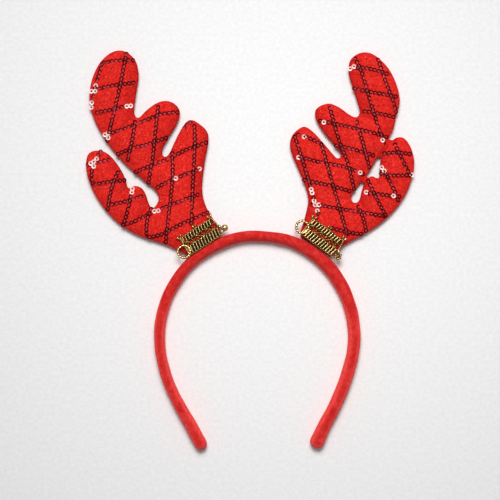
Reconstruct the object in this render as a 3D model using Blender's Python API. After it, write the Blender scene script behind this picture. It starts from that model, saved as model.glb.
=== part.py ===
"""A reindeer antler headband lying flat on its back.

A padded velvet hair band in a horseshoe shape carries two stuffed antlers at its crown. Each antler is a
front and a back panel sewn together round the edge, with rows of sequins crossing its front, and a cast
openwork ornament covers its foot.

X runs to the right, Y from the open ends of the band to the tips of the antlers and Z up, with the surface
that the headband lies on at Z = 0. Plan outlines are written in millimetres, and MM makes metres of them.
"""

import math
from typing import NamedTuple

import bmesh
import bpy
from mathutils import Vector
from mathutils.bvhtree import BVHTree
from mathutils.geometry import delaunay_2d_cdt, interpolate_bezier, intersect_point_line

MM = 0.001

# Clearance between pieces that touch, and the distance under which plan points become one.
PIECE_GAP = 0.3
MERGE_DISTANCE = 0.02

# The band: its height off the surface, how square its section is, the flat that it rests on, and how far
# its top edge leans outwards.
BAND_HEIGHT = 10.5
BAND_SQUARENESS = 2.4
BAND_FLAT = 0.45
BAND_LEAN = 0.35
BAND_STEP = 6.4
BAND_SIDES = 12
BAND_CAP_ANGLES = (28.0, 54.0, 76.0)
BAND_CAP_LENGTH = 5.0

# The antlers: the lowest place of a foot along Y, height of the seam, how far each panel swells from it,
# and how far in from the seam the padding reaches its full height.
LOWEST_FOOT = -20.0
SEAM_HEIGHT = 5.0
FRONT_RISE = 4.5
BACK_RISE = 5.2
CROWN_REACH = 9.0
OUTLINE_STEP = 5.0
RING_INSETS = (2.3,)
GRID_STEP = 6.0
CREASE_DEPTH = 1.2
CREASE_WIDTH = 3.2

# The rows of sequins: width, thickness, lift off the panel, how finely a row is tested against the antler,
# how far a facet may sag, the fewest tests that make a strip, and its least distance from the seam.
STRIP_WIDTH = 2.8
STRIP_THICKNESS = 0.6
STRIP_LIFT = 0.4
STRIP_PROBE = 1.0
STRIP_SAG = 0.16
SHORTEST_RUN = 3
STRIP_MARGIN = 0.35

# The cast ornaments: height of the underside, thickness at the edge of a stroke and at its middle.
PLAQUE_HEIGHT = SEAM_HEIGHT + PIECE_GAP / 2 + FRONT_RISE + PIECE_GAP
PLAQUE_EDGE = 0.9
PLAQUE_CROWN = 1.8
PLAQUE_KEEP_OUT = 15.0
RAIL_WIDTH = 1.1
BAR_WIDTH = 1.15
BAR_PITCH = 2.8
TALLEST_STRAIGHT_BAR = 7.0
CURL_WIDTH = 0.95
LOWER_TIER = (0.6, 6.6)
UPPER_TIER = (8.9, 13.0)
TIER_LENGTH = 26.0
WINDOW = (8.2, 18.4)
RING_CENTRE = (-1.3, 4.6)
RING_RADIUS = 4.15
BALL_CENTRE = (29.0, 3.1)
BALL_RADIUS = 2.35


class BandSection(NamedTuple):
    """A section across the band seen from above: its centre and its width, in millimetres."""

    x: float
    y: float
    width: float


class Antler(NamedTuple):
    """The plan of one antler, in millimetres.

    outline names the stretches of the sewn edge from one corner of the foot to the other, foot gives the
    two places along X where the foot meets the band, and rows are the lines of sequins across it and along
    it. plaque is the ornament's lower corner and its turn in degrees.
    """

    side: str
    foot: tuple
    outline: dict
    crease: tuple
    rows: dict
    plaque: tuple


class Stroke(NamedTuple):
    """One bar of the openwork: the points of its centre line and its width, in millimetres."""

    points: list
    width: float


BAND_SECTIONS = [
    BandSection(-32.4, -124.9, 8.5),
    BandSection(-39.6, -111.9, 8.2),
    BandSection(-45.8, -100.9, 7.6),
    BandSection(-51.2, -89.9, 7.3),
    BandSection(-55.4, -78.2, 7.3),
    BandSection(-58.0, -66.7, 7.2),
    BandSection(-58.8, -54.9, 7.4),
    BandSection(-57.4, -42.8, 7.6),
    BandSection(-54.0, -31.5, 7.6),
    BandSection(-48.4, -20.7, 7.5),
    BandSection(-41.2, -11.1, 7.5),
    BandSection(-32.3, -3.2, 7.6),
    BandSection(-22.2, 2.8, 7.6),
    BandSection(-11.3, 7.2, 7.4),
    BandSection(0.2, 9.0, 7.1),
    BandSection(12.4, 8.5, 7.2),
    BandSection(24.1, 6.4, 7.6),
    BandSection(34.8, 2.0, 8.4),
    BandSection(44.6, -4.8, 9.1),
    BandSection(52.6, -12.8, 9.3),
    BandSection(59.2, -23.0, 9.1),
    BandSection(64.0, -34.0, 8.7),
    BandSection(66.8, -45.1, 8.5),
    BandSection(67.8, -57.3, 8.4),
    BandSection(66.4, -68.8, 8.4),
    BandSection(63.4, -80.4, 8.6),
    BandSection(59.0, -92.3, 8.6),
    BandSection(54.1, -103.2, 8.5),
    BandSection(48.3, -114.2, 8.7),
    BandSection(43.6, -124.4, 9.5),
]

LEFT = Antler(
    side="left",
    foot=(-39.4, -17.0),
    outline={
        "inner_side": [
            (-19.8, 14.8), (-26.0, 23.4), (-29.6, 31.2), (-31.0, 39.0),
            (-30.4, 48.8), (-28.7, 60.5), (-27.0, 70.2),
        ],
        "inner_tine": [(-27.4, 76.0), (-31.2, 80.6), (-38.7, 84.6), (-43.6, 80.3), (-49.1, 70.2)],
        "inner_valley": [(-52.6, 62.7), (-55.6, 60.5), (-57.1, 64.4)],
        "middle_tine": [
            (-53.3, 72.2), (-47.1, 82.9), (-45.5, 89.7), (-48.8, 94.9),
            (-55.2, 97.0), (-61.8, 94.9), (-68.2, 90.0),
        ],
        "top_valley": [(-72.8, 85.9), (-75.1, 88.4), (-74.9, 94.2)],
        "top_tine": [
            (-73.5, 104.0), (-72.3, 114.4), (-75.4, 124.5), (-84.5, 129.8),
            (-94.6, 125.1), (-101.7, 113.8), (-104.5, 98.8), (-101.7, 85.8),
        ],
        "outer_side": [(-94.2, 71.8), (-83.9, 58.8), (-70.9, 46.6), (-61.8, 39.1)],
        "fork": [(-59.3, 33.8), (-60.8, 29.6), (-63.4, 27.2), (-65.7, 30.2), (-67.6, 35.8)],
        "small_prong": [(-70.5, 40.3), (-75.1, 41.7), (-77.7, 40.1), (-78.7, 38.0), (-79.5, 40.3)],
        "branch": [
            (-81.5, 47.5), (-86.5, 56.2), (-93.6, 63.3), (-101.4, 64.5), (-105.8, 61.1), (-106.0, 49.4),
            (-101.5, 37.4), (-94.2, 26.3), (-83.5, 15.9), (-71.5, 9.1), (-54.6, 3.6), (-42.9, -0.7),
        ],
    },
    crease=((-78.7, 38.0), (-80.6, 29.3)),
    rows={
        "across_tip": [(-96.5, 121.2), (-85.8, 122.9), (-74.1, 123.2)],
        "across_upper": [(-104.0, 103.0), (-95.2, 105.3), (-86.5, 106.9), (-73.1, 108.9)],
        "across_lower": [(-103.4, 88.4), (-96.2, 89.7), (-87.8, 91.3), (-75.1, 95.2)],
        "across_throat": [(-95.5, 74.1), (-80.6, 79.0), (-63.7, 85.8), (-55.9, 88.4), (-44.9, 89.7)],
        "across_middle": [(-87.1, 61.8), (-75.4, 66.3), (-67.0, 68.2), (-51.4, 74.1)],
        "across_heart": [(-75.4, 50.1), (-59.1, 56.9), (-53.4, 58.7), (-43.6, 64.0), (-27.3, 70.2)],
        "across_waist": [(-61.1, 40.3), (-48.1, 46.5), (-29.6, 53.6)],
        "across_hip": [(-86.5, 16.2), (-76.7, 17.9), (-63.0, 24.4), (-46.8, 31.0), (-30.0, 37.3)],
        "across_foot": [(-69.5, 7.8), (-58.5, 9.8), (-44.9, 16.6), (-26.7, 24.7)],
        "across_branch_tip": [(-106.6, 55.2), (-97.5, 57.2), (-86.5, 59.8)],
        "across_branch_middle": [(-104.7, 41.9), (-91.0, 44.2), (-80.0, 45.5)],
        "across_branch_root": [(-98.8, 27.9), (-83.2, 30.9), (-66.5, 36.0)],
        "along_outer": [(-94.9, 124.8), (-99.5, 108.5), (-102.7, 94.9), (-103.7, 88.4)],
        "along_spine": [(-80.0, 128.7), (-83.9, 107.9), (-88.1, 89.7), (-93.0, 69.5)],
        "along_valley": [(-74.1, 87.1), (-76.0, 72.8), (-78.7, 61.1), (-80.0, 54.0)],
        "along_middle": [(-59.1, 96.9), (-61.2, 78.0), (-63.2, 59.8), (-66.3, 41.6)],
        "along_centre": [(-50.7, 67.0), (-50.1, 49.4), (-51.4, 33.8), (-53.3, 17.6), (-54.9, 3.2)],
        "along_inner": [(-36.1, 84.5), (-35.8, 68.9), (-37.1, 42.2), (-38.0, 15.6)],
        "along_branch_outer": [(-96.2, 65.0), (-99.8, 59.1), (-102.8, 50.0), (-101.6, 41.0)],
        "along_branch_middle": [(-83.9, 54.0), (-89.0, 42.6), (-93.0, 23.4)],
        "along_branch_inner": [(-76.4, 41.6), (-78.7, 27.9), (-82.9, 14.3)],
        "along_fork": [(-63.7, 27.9), (-66.3, 21.4), (-67.6, 6.5)],
    },
    plaque=((-39.0, -4.2), 33.3),
)

RIGHT = Antler(
    side="right",
    foot=(33.2, 52.6),
    outline={
        "inner_side": [
            (34.1, 12.3), (35.6, 20.8), (37.2, 27.9), (37.8, 32.5),
            (36.6, 39.0), (32.0, 51.0), (27.6, 61.1),
        ],
        "inner_tine": [(25.9, 68.2), (27.3, 74.2), (30.9, 78.1), (35.4, 80.2), (40.3, 77.4), (46.5, 71.0)],
        "inner_valley": [(54.3, 61.9), (57.2, 59.5), (59.2, 61.8)],
        "middle_tine": [
            (54.9, 67.9), (46.1, 79.0), (42.4, 86.5), (43.2, 91.8),
            (50.7, 95.2), (57.5, 93.0), (65.0, 87.8),
        ],
        "top_valley": [(69.2, 86.3), (71.3, 89.4), (70.2, 94.6)],
        "top_tine": [
            (66.8, 105.3), (64.0, 115.7), (66.0, 124.5), (75.1, 128.6),
            (84.2, 124.3), (92.6, 113.8), (97.4, 98.2), (94.9, 85.8),
        ],
        "outer_side": [(92.8, 77.7), (85.6, 65.0), (76.6, 49.7), (69.0, 40.2)],
        "fork": [(65.8, 34.5), (66.6, 31.5), (68.6, 30.6), (71.0, 32.5), (72.7, 39.0)],
        "small_prong": [(75.3, 45.3), (79.2, 48.0), (82.6, 46.1), (83.7, 43.6), (84.1, 46.8)],
        "branch": [
            (84.4, 55.9), (88.1, 66.4), (94.6, 72.7), (99.9, 72.8), (105.1, 65.3), (106.8, 54.9),
            (103.5, 41.0), (96.6, 29.1), (85.7, 17.9), (72.8, 9.5), (61.8, 3.5), (54.9, -2.3),
        ],
    },
    crease=((83.7, 43.6), (81.9, 35.8)),
    rows={
        "across_tip": [(63.1, 117.3), (70.9, 118.3), (78.7, 117.2), (93.6, 113.1)],
        "across_upper": [(66.3, 105.3), (75.4, 103.0), (98.2, 99.0)],
        "across_lower": [(70.2, 90.7), (81.2, 88.9), (96.9, 85.7)],
        "across_throat": [(41.6, 84.8), (60.5, 80.6), (81.2, 75.5), (91.7, 72.2)],
        "across_middle": [(54.6, 68.2), (65.0, 65.8), (84.5, 60.1)],
        "across_heart": [(26.7, 61.8), (44.2, 57.3), (62.4, 53.6), (77.4, 47.5)],
        "across_tine": [(27.3, 76.0), (38.0, 72.8), (48.0, 67.6)],
        "across_waist": [(33.8, 45.8), (52.0, 41.7), (68.9, 37.1)],
        "across_hip": [(36.6, 30.6), (53.0, 27.6), (70.2, 24.8), (91.5, 21.3)],
        "across_foot": [(49.4, 15.0), (66.3, 11.1), (76.7, 10.1)],
        "across_branch_tip": [(85.8, 62.7), (94.9, 63.1), (107.2, 62.1)],
        "across_branch_middle": [(83.9, 50.1), (91.0, 48.4), (107.2, 48.8)],
        "across_branch_root": [(70.9, 38.0), (80.6, 36.4), (101.4, 34.3)],
        "along_inner": [(66.3, 128.1), (72.2, 115.7), (79.6, 91.0), (87.1, 68.9)],
        "along_outer": [(81.9, 127.4), (88.4, 107.9), (94.2, 92.3), (95.2, 85.2)],
        "along_valley": [(68.2, 87.1), (72.8, 70.5), (78.3, 50.7)],
        "along_middle": [(50.7, 96.2), (57.9, 70.9), (63.4, 56.6), (67.6, 39.0)],
        "along_tine": [(27.9, 77.4), (35.8, 52.6), (44.9, 21.4)],
        "along_centre": [(45.2, 72.8), (50.4, 54.0), (58.2, 26.7), (63.1, 9.8)],
        "along_fork": [(68.6, 31.9), (73.8, 19.5), (75.7, 10.4)],
        "along_branch_fork": [(75.0, 48.5), (81.9, 33.8), (89.6, 19.4)],
        "along_branch_outer": [(92.3, 72.2), (99.8, 56.6), (106.0, 44.2)],
        "along_branch_inner": [(84.5, 55.9), (91.7, 42.6), (97.5, 29.2)],
    },
    plaque=((32.2, 10.4), -36.2),
)


def clear_scene():
    """Remove every object that the scene starts with."""
    for obj in list(bpy.data.objects):
        bpy.data.objects.remove(obj, do_unlink=True)


def make_material(name, colour, roughness, metallic=0.0):
    """A Principled BSDF of one colour."""
    material = bpy.data.materials.new(name)
    material.use_nodes = True
    shader = material.node_tree.nodes["Principled BSDF"]
    shader.inputs["Base Color"].default_value = (*colour, 1.0)
    shader.inputs["Roughness"].default_value = roughness
    shader.inputs["Metallic"].default_value = metallic
    return material


def add_object(name, mesh_builder, material, smooth_angle=50.0):
    """Turn a finished bmesh into a named object with faces pointing out."""
    bmesh.ops.recalc_face_normals(mesh_builder, faces=mesh_builder.faces)
    mesh = bpy.data.meshes.new(name)
    mesh_builder.to_mesh(mesh)
    mesh_builder.free()
    mesh.materials.append(material)
    mesh.shade_smooth()
    mesh.set_sharp_from_angle(angle=math.radians(smooth_angle))
    obj = bpy.data.objects.new(name, mesh)
    bpy.context.scene.collection.objects.link(obj)
    return obj


def smooth_through(knots, step, closed=False):
    """Points about one step apart on a smooth curve through the knots.

    Each knot's tangent runs along the line between its neighbours, and a handle is a third of its span.
    """
    knots = [Vector(knot).to_3d() for knot in knots]
    count = len(knots)
    tangents = []
    for i in range(count):
        before = knots[(i - 1) % count] if closed or i > 0 else knots[i]
        after = knots[(i + 1) % count] if closed or i < count - 1 else knots[i]
        tangents.append((after - before).normalized())
    points = []
    for i in range(count if closed else count - 1):
        j = (i + 1) % count
        span = (knots[j] - knots[i]).length
        pieces = max(1, round(span / step))
        handle_out = knots[i] + tangents[i] * span / 3
        handle_in = knots[j] - tangents[j] * span / 3
        points += interpolate_bezier(knots[i], handle_out, handle_in, knots[j], pieces + 1)[:-1]
    if not closed:
        points.append(knots[-1])
    return points


def chain_distance(point, chain):
    """Distance in plan from a point to a chain of straight runs."""
    nearest = math.inf
    for start, end in zip(chain, chain[1:]):
        foot, share = intersect_point_line(point, start, end)
        share = min(1.0, max(0.0, share))
        nearest = min(nearest, (point - start.lerp(end, share)).length)
    return nearest


def is_inside(point, loop):
    """Whether a point lies inside a closed plan outline."""
    crossings = 0
    for start, end in zip(loop, loop[1:] + loop[:1]):
        if (start.y > point.y) == (end.y > point.y):
            continue
        share = (point.y - start.y) / (end.y - start.y)
        crossings += start.x + share * (end.x - start.x) > point.x
    return crossings % 2 == 1


def plan_mesh(points, edges, faces):
    """Triangles in plan that cover the given faces, as a bmesh with its vertices at height 0."""
    cover_all = 0
    verts, _, triangles, _, _, sources = delaunay_2d_cdt(points, edges, faces, cover_all, MERGE_DISTANCE)
    builder = bmesh.new()
    made = [builder.verts.new((vert.x * MM, vert.y * MM, 0.0)) for vert in verts]
    for triangle, source in zip(triangles, sources):
        if source:
            builder.faces.new([made[i] for i in triangle])
    loose = [vert for vert in builder.verts if not vert.link_faces]
    bmesh.ops.delete(builder, geom=loose, context="VERTS")
    return builder


def raise_plan(builder, top, bottom):
    """Give a plan mesh a top and a bottom whose heights in millimetres are functions of the plan point."""
    lower = list(builder.verts)
    raised = bmesh.ops.extrude_face_region(builder, geom=list(builder.faces))
    upper = [item for item in raised["geom"] if isinstance(item, bmesh.types.BMVert)]
    for verts, height in ((lower, bottom), (upper, top)):
        for vert in verts:
            vert.co.z = height(Vector((vert.co.x, vert.co.y)) / MM) * MM


def band_stations():
    """The band's sections, closely spaced from its left end to its right end."""
    return [BandSection(*point) for point in smooth_through(BAND_SECTIONS, BAND_STEP)]


def station_heading(stations, index):
    """Unit direction of the band in plan at one station."""
    before = stations[max(index - 1, 0)]
    after = stations[min(index + 1, len(stations) - 1)]
    return Vector((after.x - before.x, after.y - before.y)).normalized()


def band_edge(stations):
    """The outer edge of the band in plan, a clearance outside it."""
    edge = []
    for index, station in enumerate(stations):
        heading = station_heading(stations, index)
        outward = Vector((-heading.y, heading.x))
        edge.append(Vector((station.x, station.y)) + outward * (station.width / 2 + PIECE_GAP))
    return edge


def band_ring(builder, centre, heading, width, scale):
    """One ring of vertices round the band's rounded section, standing on its flat."""
    outward = Vector((-heading.y, heading.x))
    half_height = BAND_HEIGHT / 2
    power = 2 / BAND_SQUARENESS
    ring = []
    for side in range(BAND_SIDES):
        angle = 2 * math.pi * (side + 0.5) / BAND_SIDES
        across = math.copysign(abs(math.cos(angle)) ** power, math.cos(angle)) * scale
        up = math.copysign(abs(math.sin(angle)) ** power, math.sin(angle)) * scale
        offset = across * width / 2 + BAND_LEAN * up
        height = max(half_height * (1 + up) - BAND_FLAT, 0.0) * BAND_HEIGHT / (BAND_HEIGHT - BAND_FLAT)
        plan = centre + outward * offset
        ring.append(builder.verts.new((plan.x * MM, plan.y * MM, height * MM)))
    return ring


def band_cap(stations, index, sign):
    """Centres and scales of the rings that round off one end of the band, from the outermost inwards."""
    heading = station_heading(stations, index)
    station = stations[index]
    rings = []
    for angle in sorted(BAND_CAP_ANGLES, reverse=True):
        reach = BAND_CAP_LENGTH * math.sin(math.radians(angle))
        centre = Vector((station.x, station.y)) + heading * sign * reach
        rings.append((centre, heading, station.width, math.cos(math.radians(angle))))
    return rings


def build_band(stations, material):
    """The padded band as one tube with round ends."""
    rings = band_cap(stations, 0, -1)
    for index, station in enumerate(stations):
        centre = Vector((station.x, station.y))
        rings.append((centre, station_heading(stations, index), station.width, 1.0))
    rings += reversed(band_cap(stations, -1 % len(stations), 1))
    builder = bmesh.new()
    loops = [band_ring(builder, *ring) for ring in rings]
    for loop, following in zip(loops, loops[1:]):
        for side in range(BAND_SIDES):
            next_side = (side + 1) % BAND_SIDES
            builder.faces.new((loop[side], loop[next_side], following[next_side], following[side]))
    builder.faces.new(loops[0])
    builder.faces.new(loops[-1])
    return add_object("headband", builder, material)


def sewn_edge(antler):
    """The antler's sewn edge in plan, from one corner of its foot to the other."""
    knots = [knot for stretch in antler.outline.values() for knot in stretch]
    return [point.to_2d() for point in smooth_through(knots, OUTLINE_STEP)]


def foot_edge(antler, edge):
    """The stretch of the band's edge that the antler's foot meets, going left to right."""
    low, high = antler.foot
    crown = [point for point in edge if point.y > LOWEST_FOOT]
    return [point for point in crown if low < point.x < high]


def antler_loop(antler, edge):
    """The whole outline of an antler, anticlockwise, and its sewn part."""
    sewn = sewn_edge(antler)
    if antler.side == "right":
        sewn.reverse()
    return sewn + foot_edge(antler, edge), sewn


def swell(distance, height):
    """Height of the padding at a distance from the seam."""
    share = min(distance / CROWN_REACH, 1.0)
    return height * (1 - (1 - share) ** 2)


def crease_dent(antler, point):
    """Depth of the fold that runs in from the notch beside the small prong."""
    start, end = (Vector(corner) for corner in antler.crease)
    near = max(0.0, 1 - chain_distance(point, [start, end]) / CREASE_WIDTH)
    return CREASE_DEPTH * near**2


def front_crown(sewn, point):
    """Height of the front panel's outer face before its fold is pressed in."""
    return SEAM_HEIGHT + PIECE_GAP / 2 + swell(chain_distance(point, sewn), FRONT_RISE)


def front_height(antler, sewn, point):
    """Height of the front panel's outer face."""
    return max(front_crown(sewn, point) - crease_dent(antler, point), SEAM_HEIGHT + PIECE_GAP / 2)


def back_height(sewn, point):
    """Height of the back panel's outer face, flattened where it rests."""
    return max(SEAM_HEIGHT - PIECE_GAP / 2 - swell(chain_distance(point, sewn), BACK_RISE), 0.0)


def panel_points(loop):
    """Points inside an antler's outline: a row along the edge, then a grid."""
    inner = []
    closed = loop + loop[:1]
    for inset in RING_INSETS:
        for before, here, after in zip(loop[-1:] + loop[:-1], loop, loop[1:] + loop[:1]):
            along = (after - before).normalized()
            point = here + Vector((-along.y, along.x)) * inset
            clear = all((point - other).length > inset for other in inner)
            if clear and is_inside(point, loop) and chain_distance(point, closed) > inset * 0.8:
                inner.append(point)
    row_height = GRID_STEP * math.sqrt(3) / 2
    low = Vector((min(p.x for p in loop), min(p.y for p in loop)))
    high = Vector((max(p.x for p in loop), max(p.y for p in loop)))
    for row in range(int((high.y - low.y) / row_height) + 1):
        shift = GRID_STEP / 2 if row % 2 else 0.0
        for column in range(int((high.x - low.x) / GRID_STEP) + 1):
            point = low + Vector((column * GRID_STEP + shift, row * row_height))
            clear = all((point - other).length > GRID_STEP * 0.6 for other in inner)
            if clear and is_inside(point, loop) and chain_distance(point, closed) > RING_INSETS[-1]:
                inner.append(point)
    return inner


def build_panel(name, loop, height, seam, material):
    """Half of a stuffed antler: a flat face at the seam and a swelling outer face."""
    points = loop + panel_points(loop)
    outline = list(range(len(loop)))
    builder = plan_mesh(points, [], [outline])
    rim = {vert for edge in builder.edges if edge.is_boundary for vert in edge.verts}
    for vert in builder.verts:
        plan = Vector((vert.co.x, vert.co.y)) / MM
        vert.co.z = (seam if vert in rim else height(plan)) * MM
    bmesh.ops.edgeloop_fill(builder, edges=[edge for edge in builder.edges if edge.is_boundary])
    return add_object(name, builder, material)


def in_plaque_frame(antler, point):
    """A plan point in the ornament's own frame, along its lower rail and across it."""
    corner, turn = antler.plaque
    offset = Vector(point) - Vector(corner)
    angle = math.radians(turn)
    along = Vector((math.cos(angle), math.sin(angle)))
    return Vector((offset.dot(along), offset.dot(Vector((-along.y, along.x)))))


def strip_fits(antler, loop, sewn, point):
    """Whether a corner of a sequin strip lies on the front panel and clear of the ornament."""
    local = in_plaque_frame(antler, point)
    covered = -3.0 < local.x < TIER_LENGTH + 5.0 and local.y < PLAQUE_KEEP_OUT
    return not covered and is_inside(point, loop) and chain_distance(point, sewn) > STRIP_MARGIN


def strip_runs(antler, loop, sewn, knots):
    """The stretches of one row that lie on the front panel, each a list of its two edges' points."""
    line = [point.to_2d() for point in smooth_through(knots, STRIP_PROBE)]
    runs = [[]]
    for index, point in enumerate(line):
        along = (line[min(index + 1, len(line) - 1)] - line[max(index - 1, 0)]).normalized()
        across = Vector((-along.y, along.x)) * STRIP_WIDTH / 2
        corners = (point - across, point + across)
        if all(strip_fits(antler, loop, sewn, corner) for corner in corners):
            runs[-1].append(corners)
        elif runs[-1]:
            runs.append([])
    return [thin_run(run, sewn) for run in runs if len(run) > SHORTEST_RUN]


def thin_run(run, sewn):
    """The fewest sections of a strip whose straight facets stay close to the panel under it."""
    edges = [[Vector((*corner, front_crown(sewn, corner))) for corner in section] for section in run]
    kept = [0]
    last = 0
    for index in range(2, len(run)):
        sag = 0.0
        for side in (0, 1):
            start, end = edges[last][side], edges[index][side]
            for between in range(last + 1, index):
                share = (between - last) / (index - last)
                sag = max(sag, (edges[between][side] - start.lerp(end, share)).length)
        if sag > STRIP_SAG:
            last = index - 1
            kept.append(last)
    return [run[index] for index in kept] + run[-1:]


def facet_height(tree, point):
    """Height of the faceted panel under a plan point, or of the seam beyond the panel's edge."""
    above = Vector((point.x, point.y, BAND_HEIGHT * 2)) * MM
    hit = tree.ray_cast(above, Vector((0.0, 0.0, -1.0)))[0]
    return hit.z / MM if hit else SEAM_HEIGHT


def build_net(antler, loop, sewn, panel, material):
    """The crossing rows of sequins, fused into one net that lies on the front panel."""
    points = []
    faces = []
    for knots in antler.rows.values():
        for run in strip_runs(antler, loop, sewn, knots):
            for here, there in zip(run, run[1:]):
                faces.append(list(range(len(points), len(points) + 4)))
                points += [here[0], there[0], there[1], here[1]]
    builder = plan_mesh(points, [], faces)

    corners = [vert.co for vert in panel.data.vertices]
    tree = BVHTree.FromPolygons(corners, [face.vertices for face in panel.data.polygons])

    def underside(point):
        return max(front_crown(sewn, point), facet_height(tree, point)) + STRIP_LIFT

    def upper_side(point):
        return underside(point) + STRIP_THICKNESS

    raise_plan(builder, upper_side, underside)
    return add_object("sequin_net_" + antler.side, builder, material)


def arc(centre, radius, start, end, pieces):
    """Points on a circular arc between two angles in degrees."""
    points = []
    for i in range(pieces + 1):
        angle = math.radians(start + (end - start) * i / pieces)
        points.append((centre[0] + radius * math.cos(angle), centre[1] + radius * math.sin(angle)))
    return points


def bar_points(start, bottom, top, lean=1.1, bow=0.35):
    """A slanted bar from one rail to another, slightly bowed where it is tall."""
    if top - bottom < TALLEST_STRAIGHT_BAR:
        return [(start, bottom), (start + lean, top)]
    return [(start, bottom), (start + lean / 2 + bow, (bottom + top) / 2), (start + lean, top)]


def plaque_strokes():
    """Every stroke of the openwork in the ornament's own frame: rails, bars, curls, neck and ring."""
    low, middle_low = LOWER_TIER
    middle_high, high = UPPER_TIER
    window_start, window_end = WINDOW
    strokes = [
        Stroke([(-0.6, low), (TIER_LENGTH / 2, low - 0.25), (TIER_LENGTH + 0.4, low)], RAIL_WIDTH),
        Stroke([(0.3, high), (TIER_LENGTH / 2, high + 0.3), (TIER_LENGTH - 0.4, high)], RAIL_WIDTH),
        Stroke([(window_start - 1.6, middle_low), (window_end + 1.8, middle_low)], RAIL_WIDTH),
        Stroke([(window_start - 1.2, middle_high), (window_end + 2.2, middle_high)], RAIL_WIDTH),
        Stroke(arc(RING_CENTRE, RING_RADIUS, 0, 360, 14), RAIL_WIDTH),
        Stroke([(TIER_LENGTH, low), (TIER_LENGTH + 1.6, 2.0), BALL_CENTRE], 1.5),
        Stroke([(6.4, high - 0.2), (5.2, 14.9), (6.1, 17.3), (7.7, 17.8)], CURL_WIDTH),
        Stroke([(9.2, high), (8.5, 15.0), (7.4, 16.4), (6.1, 17.3)], CURL_WIDTH),
        Stroke([(3.4, high), (1.3, 14.3), (-0.4, 13.3), (0.4, 11.4), (1.6, 10.4)], CURL_WIDTH),
        Stroke([(18.6, high), (21.0, 14.6), (24.0, 16.0), (25.9, 16.7)], CURL_WIDTH),
        Stroke([(22.4, high), (24.8, 14.2), (25.9, 16.7)], CURL_WIDTH),
        Stroke([(TIER_LENGTH - 0.6, high), (27.0, 10.8), (26.6, 8.2), (25.4, 6.8)], CURL_WIDTH),
    ]
    count = int(TIER_LENGTH / BAR_PITCH)
    for index in range(count + 1):
        start = 0.4 + index * BAR_PITCH
        if window_start - 1.0 < start < window_end:
            strokes.append(Stroke(bar_points(start, low, middle_low), BAR_WIDTH))
            strokes.append(Stroke(bar_points(start + 1.0, middle_high, high), BAR_WIDTH))
        elif start < TIER_LENGTH - 1.5:
            strokes.append(Stroke(bar_points(start, low, high, lean=1.6, bow=0.5), BAR_WIDTH))
    return strokes


def build_plaque(antler, material):
    """The cast openwork ornament, raised along the middle of each stroke, with its ball end."""
    corner, turn = antler.plaque
    angle = math.radians(turn)
    along = Vector((math.cos(angle), math.sin(angle)))
    across = Vector((-along.y, along.x))

    def placed(point):
        return Vector(corner) + along * point[0] + across * point[1]

    lines = []
    points = []
    faces = []
    for stroke in plaque_strokes():
        line = [placed(point) for point in stroke.points]
        lines.append((line, stroke.width / 2))
        rails = []
        closed = (line[0] - line[-1]).length < MERGE_DISTANCE
        for index, point in enumerate(line):
            before = line[index - 1] if index else line[-2 if closed else 0]
            after = line[index + 1] if index < len(line) - 1 else line[1 if closed else -1]
            heading = (after - before).normalized()
            side = Vector((-heading.y, heading.x)) * stroke.width / 2
            rails.append((point - side, point, point + side))
        for here, there in zip(rails, rails[1:]):
            for edge in (0, 1):
                faces.append(list(range(len(points), len(points) + 4)))
                points += [here[edge], there[edge], there[edge + 1], here[edge + 1]]
    ball = placed(BALL_CENTRE)
    rim = arc(ball, BALL_RADIUS, 0, 324, 9)
    faces.append(list(range(len(points), len(points) + len(rim))))
    points += [Vector(point) for point in rim]
    points += [Vector(point) for point in arc(ball, BALL_RADIUS * 0.65, 18, 342, 9)]
    points.append(ball)
    builder = plan_mesh(points, [], faces)

    def ball_reach(point):
        return math.sqrt(max(BALL_RADIUS**2 - (point - ball).length_squared, 0.0))

    def relief(point):
        share = 0.0
        for line, half_width in lines:
            near = max(0.0, 1 - (chain_distance(point, line) / half_width) ** 2)
            share = max(share, math.sqrt(near))
        return share

    def top(point):
        cast = PLAQUE_HEIGHT + PLAQUE_EDGE + (PLAQUE_CROWN - PLAQUE_EDGE) * relief(point)
        return max(cast, PLAQUE_HEIGHT + PLAQUE_EDGE / 2 + ball_reach(point))

    def bottom(point):
        return min(PLAQUE_HEIGHT, PLAQUE_HEIGHT + PLAQUE_EDGE / 2 - ball_reach(point))

    raise_plan(builder, top, bottom)
    return add_object("plaque_" + antler.side, builder, material, smooth_angle=35.0)


def main():
    """Build the headband."""
    clear_scene()
    velvet = make_material("red_velvet", (0.72, 0.015, 0.012), 0.85)
    plush = make_material("red_plush", (0.76, 0.016, 0.013), 0.9)
    sequin = make_material("maroon_sequin", (0.22, 0.005, 0.012), 0.25, 0.9)
    gold = make_material("antique_gold", (0.52, 0.39, 0.16), 0.35, 1.0)

    stations = band_stations()
    edge = band_edge(stations)
    build_band(stations, velvet)
    for antler in (LEFT, RIGHT):
        loop, sewn = antler_loop(antler, edge)
        front = build_panel(
            "antler_" + antler.side + "_front",
            loop,
            lambda point, antler=antler, sewn=sewn: front_height(antler, sewn, point),
            SEAM_HEIGHT + PIECE_GAP / 2,
            plush,
        )
        build_panel(
            "antler_" + antler.side + "_back",
            loop,
            lambda point, sewn=sewn: back_height(sewn, point),
            SEAM_HEIGHT - PIECE_GAP / 2,
            plush,
        )
        build_net(antler, loop, sewn, front, sequin)
        build_plaque(antler, gold)


main()
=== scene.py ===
"""The looks of a reindeer antler headband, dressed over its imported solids.

The headband lies flat on its back on a pale surface and is seen from straight above. X runs to the right, Y
from the open ends of the band to the tips of the antlers and Z up, with the surface at Z = 0. Plan outlines
are written in millimetres, and MM makes metres of them.
"""

import logging
import math
import random
from dataclasses import dataclass, field
from enum import Enum
from typing import Callable, Iterable, NamedTuple

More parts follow.
